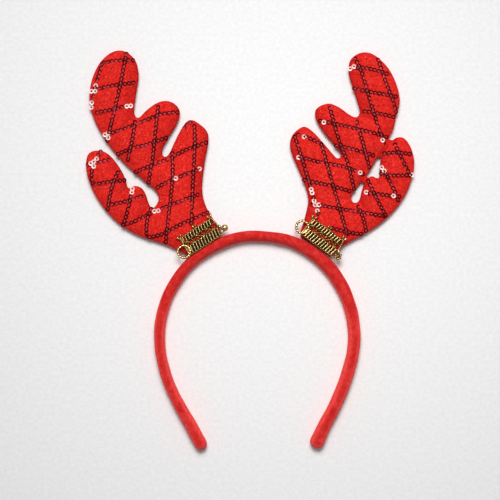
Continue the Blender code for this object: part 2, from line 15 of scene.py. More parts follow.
import bmesh
import bpy
from mathutils import Matrix, Vector, noise
from mathutils.bvhtree import BVHTree
from mathutils.geometry import interpolate_bezier
from mathutils.kdtree import KDTree


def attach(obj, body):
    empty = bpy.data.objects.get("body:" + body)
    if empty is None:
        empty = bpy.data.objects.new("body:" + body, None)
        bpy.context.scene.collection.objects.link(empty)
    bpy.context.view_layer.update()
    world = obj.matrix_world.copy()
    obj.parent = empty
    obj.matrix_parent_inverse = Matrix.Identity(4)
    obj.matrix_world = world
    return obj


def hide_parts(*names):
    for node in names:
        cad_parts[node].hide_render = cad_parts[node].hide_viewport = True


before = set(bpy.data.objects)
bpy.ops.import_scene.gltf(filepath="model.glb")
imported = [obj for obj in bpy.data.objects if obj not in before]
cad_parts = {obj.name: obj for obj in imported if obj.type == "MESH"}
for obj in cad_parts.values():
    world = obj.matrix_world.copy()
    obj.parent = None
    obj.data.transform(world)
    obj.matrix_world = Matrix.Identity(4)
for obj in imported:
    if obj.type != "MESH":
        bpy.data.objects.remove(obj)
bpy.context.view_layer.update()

MM = 0.001
UP = Vector((0.0, 0.0, 1.0))
OTHER_NOISE = Vector((40.0, 0.0, 0.0))
log = logging.getLogger("headband")

Point = tuple[float, float]


class Side(Enum):
    """Which antler a piece belongs to."""

    LEFT = "left"
    RIGHT = "right"


class BandSection(NamedTuple):
    """A section across the band seen from above: its centre and its width, in millimetres."""

    x: float
    y: float
    width: float


class SequinRow(NamedTuple):
    """A row of sequins: its line in plan, and whether it runs along the antler or across it."""

    line: list[Vector]
    along: bool


@dataclass(frozen=True)
class AntlerPattern:
    """The cutting pattern of one antler, in millimetres.

    outline names the stretches of the sewn edge from one corner of the foot to the other. foot gives the two
    places along X where the foot meets the band. rows are the lines of sequins across the antler and along
    it, and painted_flashes the places of the sequins that are turned up with a highlight painted on them.
    corner is where the cast ornament's own frame starts and turn how many degrees it is turned. row_step is
    the distance between a line's points.
    """

    side: Side
    foot: Point
    outline: dict[str, list[Point]]
    crease: tuple[Point, Point]
    rows: dict[str, list[Point]]
    painted_flashes: list[Point]
    corner: Point
    turn: float
    row_step: float = 0.7

    def sequin_rows(self) -> list[SequinRow]:
        """Draw every row of sequins.

        Returns:
            The rows, each line as close points.
        """
        rows = []
        for name, knots in self.rows.items():
            line = smooth_through(to_vectors(knots), self.row_step)
            rows.append(SequinRow(line, name.startswith("along")))
        return rows


BAND_SECTIONS = [
    BandSection(-32.4, -124.9, 8.5),
    BandSection(-39.6, -111.9, 8.2),
    BandSection(-45.8, -100.9, 7.6),
    BandSection(-51.2, -89.9, 7.3),
    BandSection(-55.4, -78.2, 7.3),
    BandSection(-58.0, -66.7, 7.2),
    BandSection(-58.8, -54.9, 7.4),
    BandSection(-57.4, -42.8, 7.6),
    BandSection(-54.0, -31.5, 7.6),
    BandSection(-48.4, -20.7, 7.5),
    BandSection(-41.2, -11.1, 7.5),
    BandSection(-32.3, -3.2, 7.6),
    BandSection(-22.2, 2.8, 7.6),
    BandSection(-11.3, 7.2, 7.4),
    BandSection(0.2, 9.0, 7.1),
    BandSection(12.4, 8.5, 7.2),
    BandSection(24.1, 6.4, 7.6),
    BandSection(34.8, 2.0, 8.4),
    BandSection(44.6, -4.8, 9.1),
    BandSection(52.6, -12.8, 9.3),
    BandSection(59.2, -23.0, 9.1),
    BandSection(64.0, -34.0, 8.7),
    BandSection(66.8, -45.1, 8.5),
    BandSection(67.8, -57.3, 8.4),
    BandSection(66.4, -68.8, 8.4),
    BandSection(63.4, -80.4, 8.6),
    BandSection(59.0, -92.3, 8.6),
    BandSection(54.1, -103.2, 8.5),
    BandSection(48.3, -114.2, 8.7),
    BandSection(43.6, -124.4, 9.5),
]

LEFT = AntlerPattern(
    side=Side.LEFT,
    foot=(-39.4, -17.0),
    outline={
        "inner_side": [
            (-19.8, 14.8), (-26.0, 23.4), (-29.6, 31.2), (-31.0, 39.0),
            (-30.4, 48.8), (-28.7, 60.5), (-27.0, 70.2),
        ],
        "inner_tine": [(-27.4, 76.0), (-31.2, 80.6), (-38.7, 84.6), (-43.6, 80.3), (-49.1, 70.2)],
        "inner_valley": [(-52.6, 62.7), (-55.6, 60.5), (-57.1, 64.4)],
        "middle_tine": [
            (-53.3, 72.2), (-47.1, 82.9), (-45.5, 89.7), (-48.8, 94.9),
            (-55.2, 97.0), (-61.8, 94.9), (-68.2, 90.0),
        ],
        "top_valley": [(-72.8, 85.9), (-75.1, 88.4), (-74.9, 94.2)],
        "top_tine": [
            (-73.5, 104.0), (-72.3, 114.4), (-75.4, 124.5), (-84.5, 129.8),
            (-94.6, 125.1), (-101.7, 113.8), (-104.5, 98.8), (-101.7, 85.8),
        ],
        "outer_side": [(-94.2, 71.8), (-83.9, 58.8), (-70.9, 46.6), (-61.8, 39.1)],
        "fork": [(-59.3, 33.8), (-60.8, 29.6), (-63.4, 27.2), (-65.7, 30.2), (-67.6, 35.8)],
        "small_prong": [(-70.5, 40.3), (-75.1, 41.7), (-77.7, 40.1), (-78.7, 38.0), (-79.5, 40.3)],
        "branch": [
            (-81.5, 47.5), (-86.5, 56.2), (-93.6, 63.3), (-101.4, 64.5), (-105.8, 61.1), (-106.0, 49.4),
            (-101.5, 37.4), (-94.2, 26.3), (-83.5, 15.9), (-71.5, 9.1), (-54.6, 3.4), (-43.4, -1.9),
        ],
    },
    crease=((-78.7, 38.0), (-80.6, 29.3)),
    rows={
        "across_tip": [(-96.5, 121.2), (-85.8, 122.9), (-74.1, 123.2)],
        "across_upper": [(-104.0, 103.0), (-95.2, 105.3), (-86.5, 106.9), (-73.1, 108.9)],
        "across_lower": [(-103.4, 88.4), (-96.2, 89.7), (-87.8, 91.3), (-75.1, 95.2)],
        "across_throat": [(-95.5, 74.1), (-80.6, 79.0), (-63.7, 85.8), (-55.9, 88.4), (-44.9, 89.7)],
        "across_middle": [(-87.1, 61.8), (-75.4, 66.3), (-67.0, 68.2), (-51.4, 74.1)],
        "across_heart": [(-75.4, 50.1), (-59.1, 56.9), (-53.4, 58.7), (-43.6, 64.0), (-27.3, 70.2)],
        "across_waist": [(-61.1, 40.3), (-48.1, 46.5), (-29.6, 53.6)],
        "across_hip": [(-86.5, 16.2), (-76.7, 17.9), (-63.0, 24.4), (-46.8, 31.0), (-30.0, 37.3)],
        "across_foot": [(-69.5, 7.8), (-58.5, 9.8), (-44.9, 16.6), (-26.7, 24.7)],
        "across_branch_tip": [(-106.6, 55.2), (-97.5, 57.2), (-86.5, 59.8)],
        "across_branch_middle": [(-104.7, 41.9), (-91.0, 44.2), (-80.0, 45.5)],
        "across_branch_root": [(-98.8, 27.9), (-83.2, 30.9), (-66.5, 36.0)],
        "along_outer": [(-94.9, 124.8), (-99.5, 108.5), (-102.7, 94.9), (-103.7, 88.4)],
        "along_spine": [(-80.0, 128.7), (-83.9, 107.9), (-88.1, 89.7), (-93.0, 69.5)],
        "along_valley": [(-74.1, 87.1), (-76.0, 72.8), (-78.7, 61.1), (-80.0, 54.0)],
        "along_middle": [(-59.1, 96.9), (-61.2, 78.0), (-63.2, 59.8), (-66.3, 41.6)],
        "along_centre": [(-50.7, 67.0), (-50.1, 49.4), (-51.4, 33.8), (-53.3, 17.6), (-54.9, 3.2)],
        "along_inner": [(-36.1, 84.5), (-35.8, 68.9), (-37.1, 42.2), (-38.0, 15.6)],
        "along_branch_outer": [(-96.2, 65.0), (-99.8, 59.1), (-102.8, 50.0), (-101.6, 41.0)],
        "along_branch_middle": [(-83.9, 54.0), (-89.0, 42.6), (-93.0, 23.4)],
        "along_branch_inner": [(-76.4, 41.6), (-78.7, 27.9), (-82.9, 14.3)],
        "along_fork": [(-63.7, 27.9), (-66.3, 21.4), (-67.6, 6.5)],
        "edge_of_inner_tine": [(-43.6, 78.0), (-41.0, 81.3), (-38.4, 82.9)],
    },
    # Sequins that are turned up and get a painted highlight.
    painted_flashes=[
        (-100.1, 106.6), (-103.0, 103.0), (-100.4, 103.0), (-102.0, 98.2), (-102.7, 95.6), (-103.0, 92.6),
        (-79.9, 93.3), (-77.4, 93.6), (-94.2, 74.8), (-92.0, 75.7), (-92.0, 72.8), (-101.4, 54.3),
        (-101.4, 57.2), (-103.4, 56.2), (-99.5, 59.2), (-76.4, 39.7), (-76.7, 37.4), (-62.1, 25.2),
        (-59.5, 25.5), (-48.1, 46.5), (-32.8, 52.7), (-32.5, 39.0),
    ],
    corner=(-39.0, -4.2),
    turn=33.3,
)

RIGHT = AntlerPattern(
    side=Side.RIGHT,
    foot=(32.0, 52.6),
    outline={
        "inner_side": [
            (32.7, 11.8), (35.5, 20.8), (37.2, 27.9), (37.8, 32.5),
            (36.6, 39.0), (32.0, 51.0), (27.6, 61.1),
        ],
        "inner_tine": [(25.9, 68.2), (27.3, 74.2), (30.9, 78.1), (35.4, 80.2), (40.3, 77.4), (46.5, 71.0)],
        "inner_valley": [(54.3, 61.9), (57.2, 59.5), (59.2, 61.8)],
        "middle_tine": [
            (54.9, 67.9), (46.1, 79.0), (42.4, 86.5), (43.2, 91.8),
            (50.7, 95.2), (57.5, 93.0), (65.0, 87.8),
        ],
        "top_valley": [(69.2, 86.3), (71.3, 89.4), (70.2, 94.6)],
        "top_tine": [
            (66.8, 105.3), (64.0, 115.7), (66.0, 124.5), (75.1, 128.6),
            (84.2, 124.3), (92.6, 113.8), (97.4, 98.2), (94.9, 85.8),
        ],
        "outer_side": [(92.8, 77.7), (85.6, 65.0), (76.6, 49.7), (69.0, 40.2)],
        "fork": [(65.8, 34.5), (66.6, 31.5), (68.6, 30.6), (71.0, 32.5), (72.7, 39.0)],
        "small_prong": [(75.3, 45.3), (79.2, 48.0), (82.6, 46.1), (83.7, 43.6), (84.1, 46.8)],
        "branch": [
            (84.4, 55.9), (88.1, 66.4), (94.6, 72.7), (99.9, 72.8), (105.1, 65.3), (106.8, 54.9),
            (103.5, 41.0), (96.6, 29.1), (85.7, 17.9), (72.8, 9.5), (61.8, 3.5), (54.9, -2.3),
        ],
    },
    crease=((83.7, 43.6), (81.9, 35.8)),
    rows={
        "across_tip": [(63.1, 117.3), (70.9, 118.3), (78.7, 117.2), (93.6, 113.1)],
        "across_upper": [(66.3, 105.3), (75.4, 103.0), (98.2, 99.0)],
        "across_lower": [(70.2, 90.7), (81.2, 88.9), (96.9, 85.7)],
        "across_throat": [(41.6, 84.8), (60.5, 80.6), (81.2, 75.5), (91.7, 72.2)],
        "across_middle": [(54.6, 68.2), (65.0, 65.8), (84.5, 60.1)],
        "across_heart": [(26.7, 61.8), (44.2, 57.3), (62.4, 53.6), (77.4, 47.5)],
        "across_tine": [(27.3, 76.0), (38.0, 72.8), (48.0, 67.6)],
        "across_waist": [(33.8, 45.8), (52.0, 41.7), (68.9, 37.1)],
        "across_hip": [(36.6, 30.6), (53.0, 27.6), (70.2, 24.8), (91.5, 21.3)],
        "across_foot": [(49.4, 15.0), (66.3, 11.1), (76.7, 10.1)],
        "across_branch_tip": [(85.8, 62.7), (94.9, 63.1), (107.2, 62.1)],
        "across_branch_middle": [(83.9, 50.1), (91.0, 48.4), (107.2, 48.8)],
        "across_branch_root": [(70.9, 38.0), (80.6, 36.4), (101.4, 34.3)],
        "along_inner": [(66.3, 128.1), (72.2, 115.7), (79.6, 91.0), (87.1, 68.9)],
        "along_outer": [(81.9, 127.4), (88.4, 107.9), (94.2, 92.3), (95.2, 85.2)],
        "along_valley": [(68.2, 87.1), (72.8, 70.5), (78.3, 50.7)],
        "along_middle": [(50.7, 96.2), (57.9, 70.9), (63.4, 56.6), (67.6, 39.0)],
        "along_tine": [(27.9, 77.4), (35.8, 52.6), (44.9, 21.4)],
        "along_centre": [(45.2, 72.8), (50.4, 54.0), (58.2, 26.7), (63.1, 9.8)],
        "along_fork": [(68.6, 31.9), (73.8, 19.5), (75.7, 10.4)],
        "along_branch_fork": [(75.0, 48.5), (81.9, 33.8), (89.6, 19.4)],
        "along_branch_outer": [(92.3, 72.2), (99.8, 56.6), (106.0, 44.2)],
        "along_branch_inner": [(84.5, 55.9), (91.7, 42.6), (97.5, 29.2)],
    },
    # Sequins that are turned up and get a painted highlight.
    painted_flashes=[
        (67.4, 119.0), (65.0, 117.7), (94.9, 85.8), (86.0, 71.3), (89.7, 72.8), (47.9, 82.9), (35.1, 73.5),
        (29.3, 60.8), (31.5, 60.1), (71.5, 50.2), (39.7, 39.3), (40.3, 37.1), (41.6, 31.9), (42.3, 29.3),
        (44.5, 29.3), (43.6, 25.4), (75.4, 37.5), (85.5, 53.6), (87.1, 51.4), (105.0, 48.8), (93.0, 35.1),
    ],
    corner=(32.2, 10.4),
    turn=-36.2,
)


def to_vectors(points: Iterable[Point]) -> list[Vector]:
    """Make vectors of plan points, at height 0."""
    return [Vector((point[0], point[1], 0.0)) for point in points]


def flat(place: Vector) -> Vector:
    """Drop a place to height 0."""
    return Vector((place.x, place.y, 0.0))


def unit_range(value: float) -> float:
    """Hold a value between 0 and 1."""
    return min(max(value, 0.0), 1.0)


def smooth_through(knots: list[Vector], step: float) -> list[Vector]:
    """Walk a smooth curve through knots.

    Args:
        knots: The places that the curve passes through. A third number is carried along, whatever it means.
        step: The distance between the points.

    Returns:
        Points about one step apart. Each knot's tangent runs along the line between its neighbours.
    """
    tangents = []
    for index in range(len(knots)):
        before = knots[max(index - 1, 0)]
        after = knots[min(index + 1, len(knots) - 1)]
        tangents.append((after - before).normalized())
    points: list[Vector] = []
    for index, (start, end) in enumerate(zip(knots, knots[1:])):
        span = (end - start).length
        pieces = max(1, round(span / step))
        handle_out = start + tangents[index] * span / 3
        handle_in = end - tangents[index + 1] * span / 3
        points += interpolate_bezier(start, handle_out, handle_in, end, pieces + 1)[:-1]
    return [*points, knots[-1].copy()]


def spread_evenly(line: list[Vector], pitch: float) -> list[Vector]:
    """Place points at one pitch along a line of short runs.

    Args:
        line: The line's points.
        pitch: The distance between the places.

    Returns:
        The places, the first of them half a pitch from the start.
    """
    places = []
    wanted = pitch / 2
    for start, end in zip(line, line[1:]):
        run = (end - start).length
        while wanted < run:
            places.append(start.lerp(end, wanted / run))
            wanted += pitch
        wanted -= run
    return places


def tree_of(points: list[Vector]) -> KDTree:
    """Sort points for quick nearest distances.

    Args:
        points: The points, each known by its number in the list.

    Returns:
        The sorted tree.
    """
    tree = KDTree(len(points))
    for index, point in enumerate(points):
        tree.insert(point, index)
    tree.balance()
    return tree


def put_in_scene(name: str, mesh: bpy.types.Mesh) -> bpy.types.Object:
    """Link a mesh into the scene as an object at the origin.

    Args:
        name: The name of the object and its mesh.
        mesh: The mesh.

    Returns:
        The object.
    """
    mesh.name = name
    piece = bpy.data.objects.new(name, mesh)
    bpy.context.scene.collection.objects.link(piece)
    return piece


def object_from(name: str, shape: bmesh.types.BMesh) -> bpy.types.Object:
    """Make a smooth-shaded object of a finished bmesh and free the bmesh.

    Args:
        name: The name of the object and its mesh.
        shape: The bmesh.

    Returns:
        The object.
    """
    mesh = bpy.data.meshes.new(name)
    shape.to_mesh(mesh)
    shape.free()
    mesh.shade_smooth()
    return put_in_scene(name, mesh)


def bake_modifiers(piece: bpy.types.Object) -> None:
    """Apply every modifier of a piece to its mesh, as it is at the current frame.

    Args:
        piece: The piece, which keeps its name and its place.
    """
    graph = bpy.context.evaluated_depsgraph_get()
    finished = bpy.data.meshes.new_from_object(piece.evaluated_get(graph))
    piece.modifiers.clear()
    finished.name = piece.data.name
    piece.data = finished
    finished.shade_smooth()


def reshape(piece: bpy.types.Object, move: Callable[[Vector], Vector]) -> None:
    """Move every vertex of a piece.

    Args:
        piece: The piece.
        move: The function that gives a vertex its new place.
    """
    for vert in piece.data.vertices:
        vert.co = move(vert.co.copy())
    piece.data.update()


class Knot(NamedTuple):
    """A point of a tube's line, and how many times the tube's radius it has there."""

    point: Vector
    gain: float = 1.0


def draw_tubes(
    name: str, lines: list[list[Knot]], radius: float, roundness: int, closed: bool = False
) -> bpy.types.Mesh:
    """Make round tubes along lines.

    Args:
        name: The mesh's name.
        lines: The knots of each tube.
        radius: The tubes' radius.
        roundness: How finely the section is rounded.
        closed: Whether each line runs back to its first knot.

    Returns:
        One mesh of all the tubes, with capped ends.
    """
    path = bpy.data.curves.new(name, "CURVE")
    path.dimensions = "3D"
    path.bevel_depth = radius
    path.bevel_resolution = roundness
    path.use_fill_caps = not closed
    for line in lines:
        spline = path.splines.new("POLY")
        spline.points.add(len(line) - 1)
        spline.use_cyclic_u = closed
        for knot, (point, gain) in zip(spline.points, line):
            knot.co = (*point, 1.0)
            knot.radius = gain
    drawn = bpy.data.objects.new(name, path)
    bpy.context.scene.collection.objects.link(drawn)
    graph = bpy.context.evaluated_depsgraph_get()
    mesh = bpy.data.meshes.new_from_object(drawn.evaluated_get(graph))
    bpy.data.objects.remove(drawn)
    bpy.data.curves.remove(path)
    return mesh


class Field:
    """The output of a shader node, which the signs of arithmetic turn into Math nodes."""

    def __init__(self, bench: "Workbench", socket: bpy.types.NodeSocket) -> None:
        """Wrap one output socket."""
        self.bench = bench
        self.socket = socket

    def math(self, operation: str, first: "Field | float", second: "Field | float" = 0.0) -> "Field":
        """Add one Math node with two values."""
        return self.bench.node("ShaderNodeMath", {"operation": operation}, {0: first, 1: second})

    def __add__(self, other: "Field | float") -> "Field":
        """Add."""
        return self.math("ADD", self, other)

    def __radd__(self, other: float) -> "Field":
        """Add, with a number first."""
        return self.math("ADD", other, self)

    def __sub__(self, other: "Field | float") -> "Field":
        """Subtract."""
        return self.math("SUBTRACT", self, other)

    def __rsub__(self, other: float) -> "Field":
        """Subtract from a number."""
        return self.math("SUBTRACT", other, self)

    def __mul__(self, other: "Field | float") -> "Field":
        """Multiply."""
        return self.math("MULTIPLY", self, other)

    def between(self, low: float, high: float) -> "Field":
        """Spread the values from low to high over 0 to 1, and hold the rest at the ends."""
        sockets = {"Value": self, "From Min": low, "From Max": high}
        return self.bench.node("ShaderNodeMapRange", {"clamp": True}, sockets)


class Workbench:
    """One material under work: it adds nodes to the tree and sets the main shader."""

    def __init__(self, name: str) -> None:
        """Start a material of that name."""
        self.material = bpy.data.materials.new(name)
        self.material.use_nodes = True
        self.tree = self.material.node_tree
        self.shader = self.tree.nodes["Principled BSDF"]

    def feed(self, socket: bpy.types.NodeSocket, value: object) -> None:
        """Fill an input.

        Args:
            socket: The input.
            value: The field that is linked to it, or the value that it is set to.
        """
        if isinstance(value, Field):
            self.tree.links.new(value.socket, socket)
        else:
            socket.default_value = value

    def node(self, kind: str, settings: dict, sockets: dict, output: int | str = 0) -> Field:
        """Add a node.

        Args:
            kind: The node's type.
            settings: Its own settings, set first.
            sockets: What goes into its inputs, by name or by number.
            output: The output that is wanted.

        Returns:
            That output.
        """
        made = self.tree.nodes.new(kind)
        for name, value in settings.items():
            setattr(made, name, value)
        for name, value in sockets.items():
            self.feed(made.inputs[name], value)
        return Field(self, made.outputs[output])

    def blend(self, share: Field, low: Field | tuple, high: Field | tuple) -> Field:
        """Mix two colours, each a field or its red, green and blue.

        Args:
            share: How much of the second colour there is, from 0 to 1.
            low: The first colour.
            high: The second colour.

        Returns:
            The mixed colour.
        """
        low = (*low, 1.0) if isinstance(low, tuple) else low
        high = (*high, 1.0) if isinstance(high, tuple) else high
        return self.node("ShaderNodeMix", {"data_type": "RGBA"}, {0: share, 6: low, 7: high}, 2)

    def position(self, turn: float = 0.0, stretch: tuple = (1.0, 1.0, 1.0)) -> Field:
        """Read the object coordinates in millimetres.

        Args:
            turn: How many degrees they are turned about Z.
            stretch: What each axis is multiplied by after that.

        Returns:
            The coordinates.
        """
        place = self.node("ShaderNodeTexCoord", {}, {}, "Object")
        sockets = {"Vector": place, "Rotation": (0.0, 0.0, math.radians(turn)), "Scale": (1000.0,) * 3}
        turned = self.node("ShaderNodeMapping", {}, sockets)
        return self.node("ShaderNodeMapping", {}, {"Vector": turned, "Scale": stretch})

    def cloud(self, place: Field, size: float, detail: float = 2.0, roughness: float = 0.5) -> Field:
        """Soft noise whose lumps are about size millimetres across."""
        sockets = {"Vector": place, "Scale": 1.0 / size, "Detail": detail, "Roughness": roughness}
        return self.node("ShaderNodeTexNoise", {}, sockets, "Fac")

    def attribute(self, name: str) -> Field:
        """A number that the mesh carries."""
        return self.node("ShaderNodeAttribute", {"attribute_name": name}, {}, "Fac")

    def relief(self, height: Field, depth: float) -> Field:
        """Bump a surface by a height field, whose full range is depth millimetres."""
        sockets = {"Height": height, "Strength": 1.0, "Distance": depth * MM}
        return self.node("ShaderNodeBump", {}, sockets, "Normal")

    def finish(self, **sockets: object) -> bpy.types.Material:
        """Set the main shader up.

        Args:
            sockets: The fields and values of its inputs, named with underscores for spaces.

        Returns:
            The material.
        """
        for name, value in sockets.items():
            self.feed(self.shader.inputs[name.replace("_", " ")], value)
        return self.material


@dataclass(frozen=True)
class PileFabric:
    """Red pile cloth: velvet on the band, a brighter short plush on the antlers.

    Colours are linear: deep and lit are the pile's two shades, painted_glint is a highlight painted on
    scattered fibre ends, and shaded is painted shade, which takes over where the mesh's shade attribute says
    so. nap is the direction in degrees in which the pile is brushed, and streak the width in millimetres of
    the locks that it lies in.
    """

    name: str
    deep: tuple[float, float, float]
    lit: tuple[float, float, float]
    painted_glint: tuple[float, float, float]
    shaded: tuple[float, float, float]
    nap: float
    streak: float
    painted_glint_share: float
    sheen: float
    sheen_tint: tuple[float, float, float]
    relief: float

    def make(self) -> bpy.types.Material:
        """Mix the cloth from brushed locks and soft clouds, with painted highlights and painted shade.

        Returns:
            The cloth.
        """
        bench = Workbench(self.name)
        plain = bench.position()
        brushed = bench.position(-self.nap, (0.26, 1.0, 1.0))
        locks = bench.cloud(brushed, self.streak, 2.0, 0.55)
        clouds = bench.cloud(plain, self.streak * 4.0, 2.0, 0.5)
        tufts = bench.cloud(plain, self.streak * 1.2, 3.0, 0.6)
        body = (locks * 0.5 + clouds * 0.3 + tufts * 0.3 - 0.05).between(0.40, 0.60)
        colour = bench.blend(body, self.deep, self.lit)
        # Painted highlight: scattered fibre ends are mixed towards a bright colour and made a little shinier.
        tips = bench.cloud(brushed, self.streak * 0.7, 1.0).between(0.56, 0.72) * tufts.between(0.42, 0.6)
        colour = bench.blend(tips * self.painted_glint_share, colour, self.painted_glint)
        # Painted shade: the mesh's shade attribute darkens the cloth towards the shaded colour.
        shade = bench.attribute("shade")
        colour = bench.blend(shade, colour, self.shaded)
        fibres = bench.relief(locks * 0.5 + tufts * 0.5, self.relief)
        tint = (*self.sheen_tint, 1.0)
        return bench.finish(
            Base_Color=colour,
            Roughness=0.9 - tips * 0.2,
            Normal=fibres,
            Sheen_Weight=self.sheen,
            Sheen_Roughness=0.4,
            Sheen_Tint=tint,
            Specular_IOR_Level=0.15,
        )


@dataclass(frozen=True)
class SequinFoil:
    """Metallised sequin film, dark maroon, a little different from one sequin to the next.

    A sequin's tone from 0 to 1 lies between dark and light. From flash_from to flash_full
    it turns to painted_flash, a highlight painted into its colour.
    """

    name: str = "maroon_sequin"
    dark: tuple[float, float, float] = (0.10, 0.0004, 0.002)
    light: tuple[float, float, float] = (0.21, 0.0013, 0.006)
    painted_flash: tuple[float, float, float] = (0.96, 0.70, 0.66)
    flash_from: float = 1.2
    flash_full: float = 2.0

    def make(self) -> bpy.types.Material:
        """Colour each sequin a little differently, paint a highlight on those turned up, and scuff the film.

        Returns:
            The film.
        """
        bench = Workbench(self.name)
        own = bench.attribute("tone")
        # Painted highlight: past flash_from a sequin turns pale, less metallic and coated.
        painted_flashing = own.between(self.flash_from, self.flash_full)
        scuffs = bench.cloud(bench.position(), 0.5, 2.0)
        colour = bench.blend(own.between(0.0, 1.0), self.dark, self.light)
        colour = bench.blend(painted_flashing, colour, self.painted_flash)
        return bench.finish(
            Base_Color=colour,
            Roughness=0.28 + scuffs * 0.16,
            Metallic=0.5 - painted_flashing * 0.48,
            Coat_Weight=painted_flashing * 0.3,
            Coat_Roughness=0.25,
            Specular_IOR_Level=0.1,
        )


@dataclass(frozen=True)
class SewingThread:
    """The twisted thread that ties the sequins down."""

    name: str = "sequin_thread"
    colour: tuple[float, float, float] = (0.54, 0.08, 0.10)

    def make(self) -> bpy.types.Material:
        """Twist two shades round each other along the thread.

        Returns:
            The thread's finish.
        """
        bench = Workbench(self.name)
        twist = bench.cloud(bench.position(40.0, (1.0, 4.0, 1.0)), 0.3)
        dark = tuple(part * 0.5 for part in self.colour)
        colour = bench.blend(twist.between(0.35, 0.65), dark, self.colour)
        return bench.finish(Base_Color=colour, Roughness=0.45, Sheen_Weight=0.3)


@dataclass(frozen=True)
class AntiqueGold:
    """Cast gold, bright where it is rubbed and nearly black in its recesses.

    bottom and top are the heights in millimetres between which the patina fades out, and ragged is how far
    noise shifts them.
    """

    name: str = "antique_gold"
    patina: tuple[float, float, float] = (0.010, 0.007, 0.002)
    worn: tuple[float, float, float] = (0.27, 0.155, 0.032)
    bright: tuple[float, float, float] = (0.76, 0.54, 0.23)
    bottom: float = 10.7
    top: float = 12.05
    ragged: float = 0.7

    def make(self) -> bpy.types.Material:
        """Darken the metal by its height and break the edge of the patina up with noise.

        Returns:
            The gold.
        """
        bench = Workbench(self.name)
        place = bench.position()
        height = bench.node("ShaderNodeSeparateXYZ", {}, {"Vector": place}, "Z")
        grain = bench.cloud(place, 0.8, 3.0, 0.6)
        rubbed = (height + (grain - 0.5) * self.ragged).between(self.bottom, self.top)
        colour = bench.blend(rubbed.between(0.05, 0.4), self.patina, self.worn)
        colour = bench.blend(rubbed.between(0.45, 1.0), colour, self.bright)
        pits = bench.relief(bench.cloud(place, 0.4, 2.0), 0.09)
        return bench.finish(
            Base_Color=colour,
            Roughness=0.5 - rubbed * 0.26,
            Metallic=rubbed.between(0.0, 0.3) * 0.4 + 0.6,
            Normal=pits,
        )


@dataclass(frozen=True)
class PaleBoard:
    """The pale board that the headband lies on, with a faint tooth in millimetres."""

    name: str = "pale_board"
    colour: tuple[float, float, float] = (0.885, 0.885, 0.885)
    dulled: float = 0.93
    tooth_size: float = 2.4
    tooth_depth: float = 0.12

    def make(self) -> bpy.types.Material:
        """Give the board its tooth.

        Returns:
            The board's finish.
        """
        bench = Workbench(self.name)
        tooth = bench.cloud(bench.position(), self.tooth_size, 4.0, 0.65)
        dull = tuple(part * self.dulled for part in self.colour)
        colour = bench.blend(tooth.between(0.35, 0.65), dull, self.colour)
        return bench.finish(
            Base_Color=colour,
            Roughness=0.85,
            Normal=bench.relief(tooth, self.tooth_depth),
            Specular_IOR_Level=0.15,
        )


class SkinRing(NamedTuple):
    """A ring of the band's skin: its centre, the band's heading there, its width and its scale."""

    centre: Vector
    heading: Vector
    width: float
    scale: float


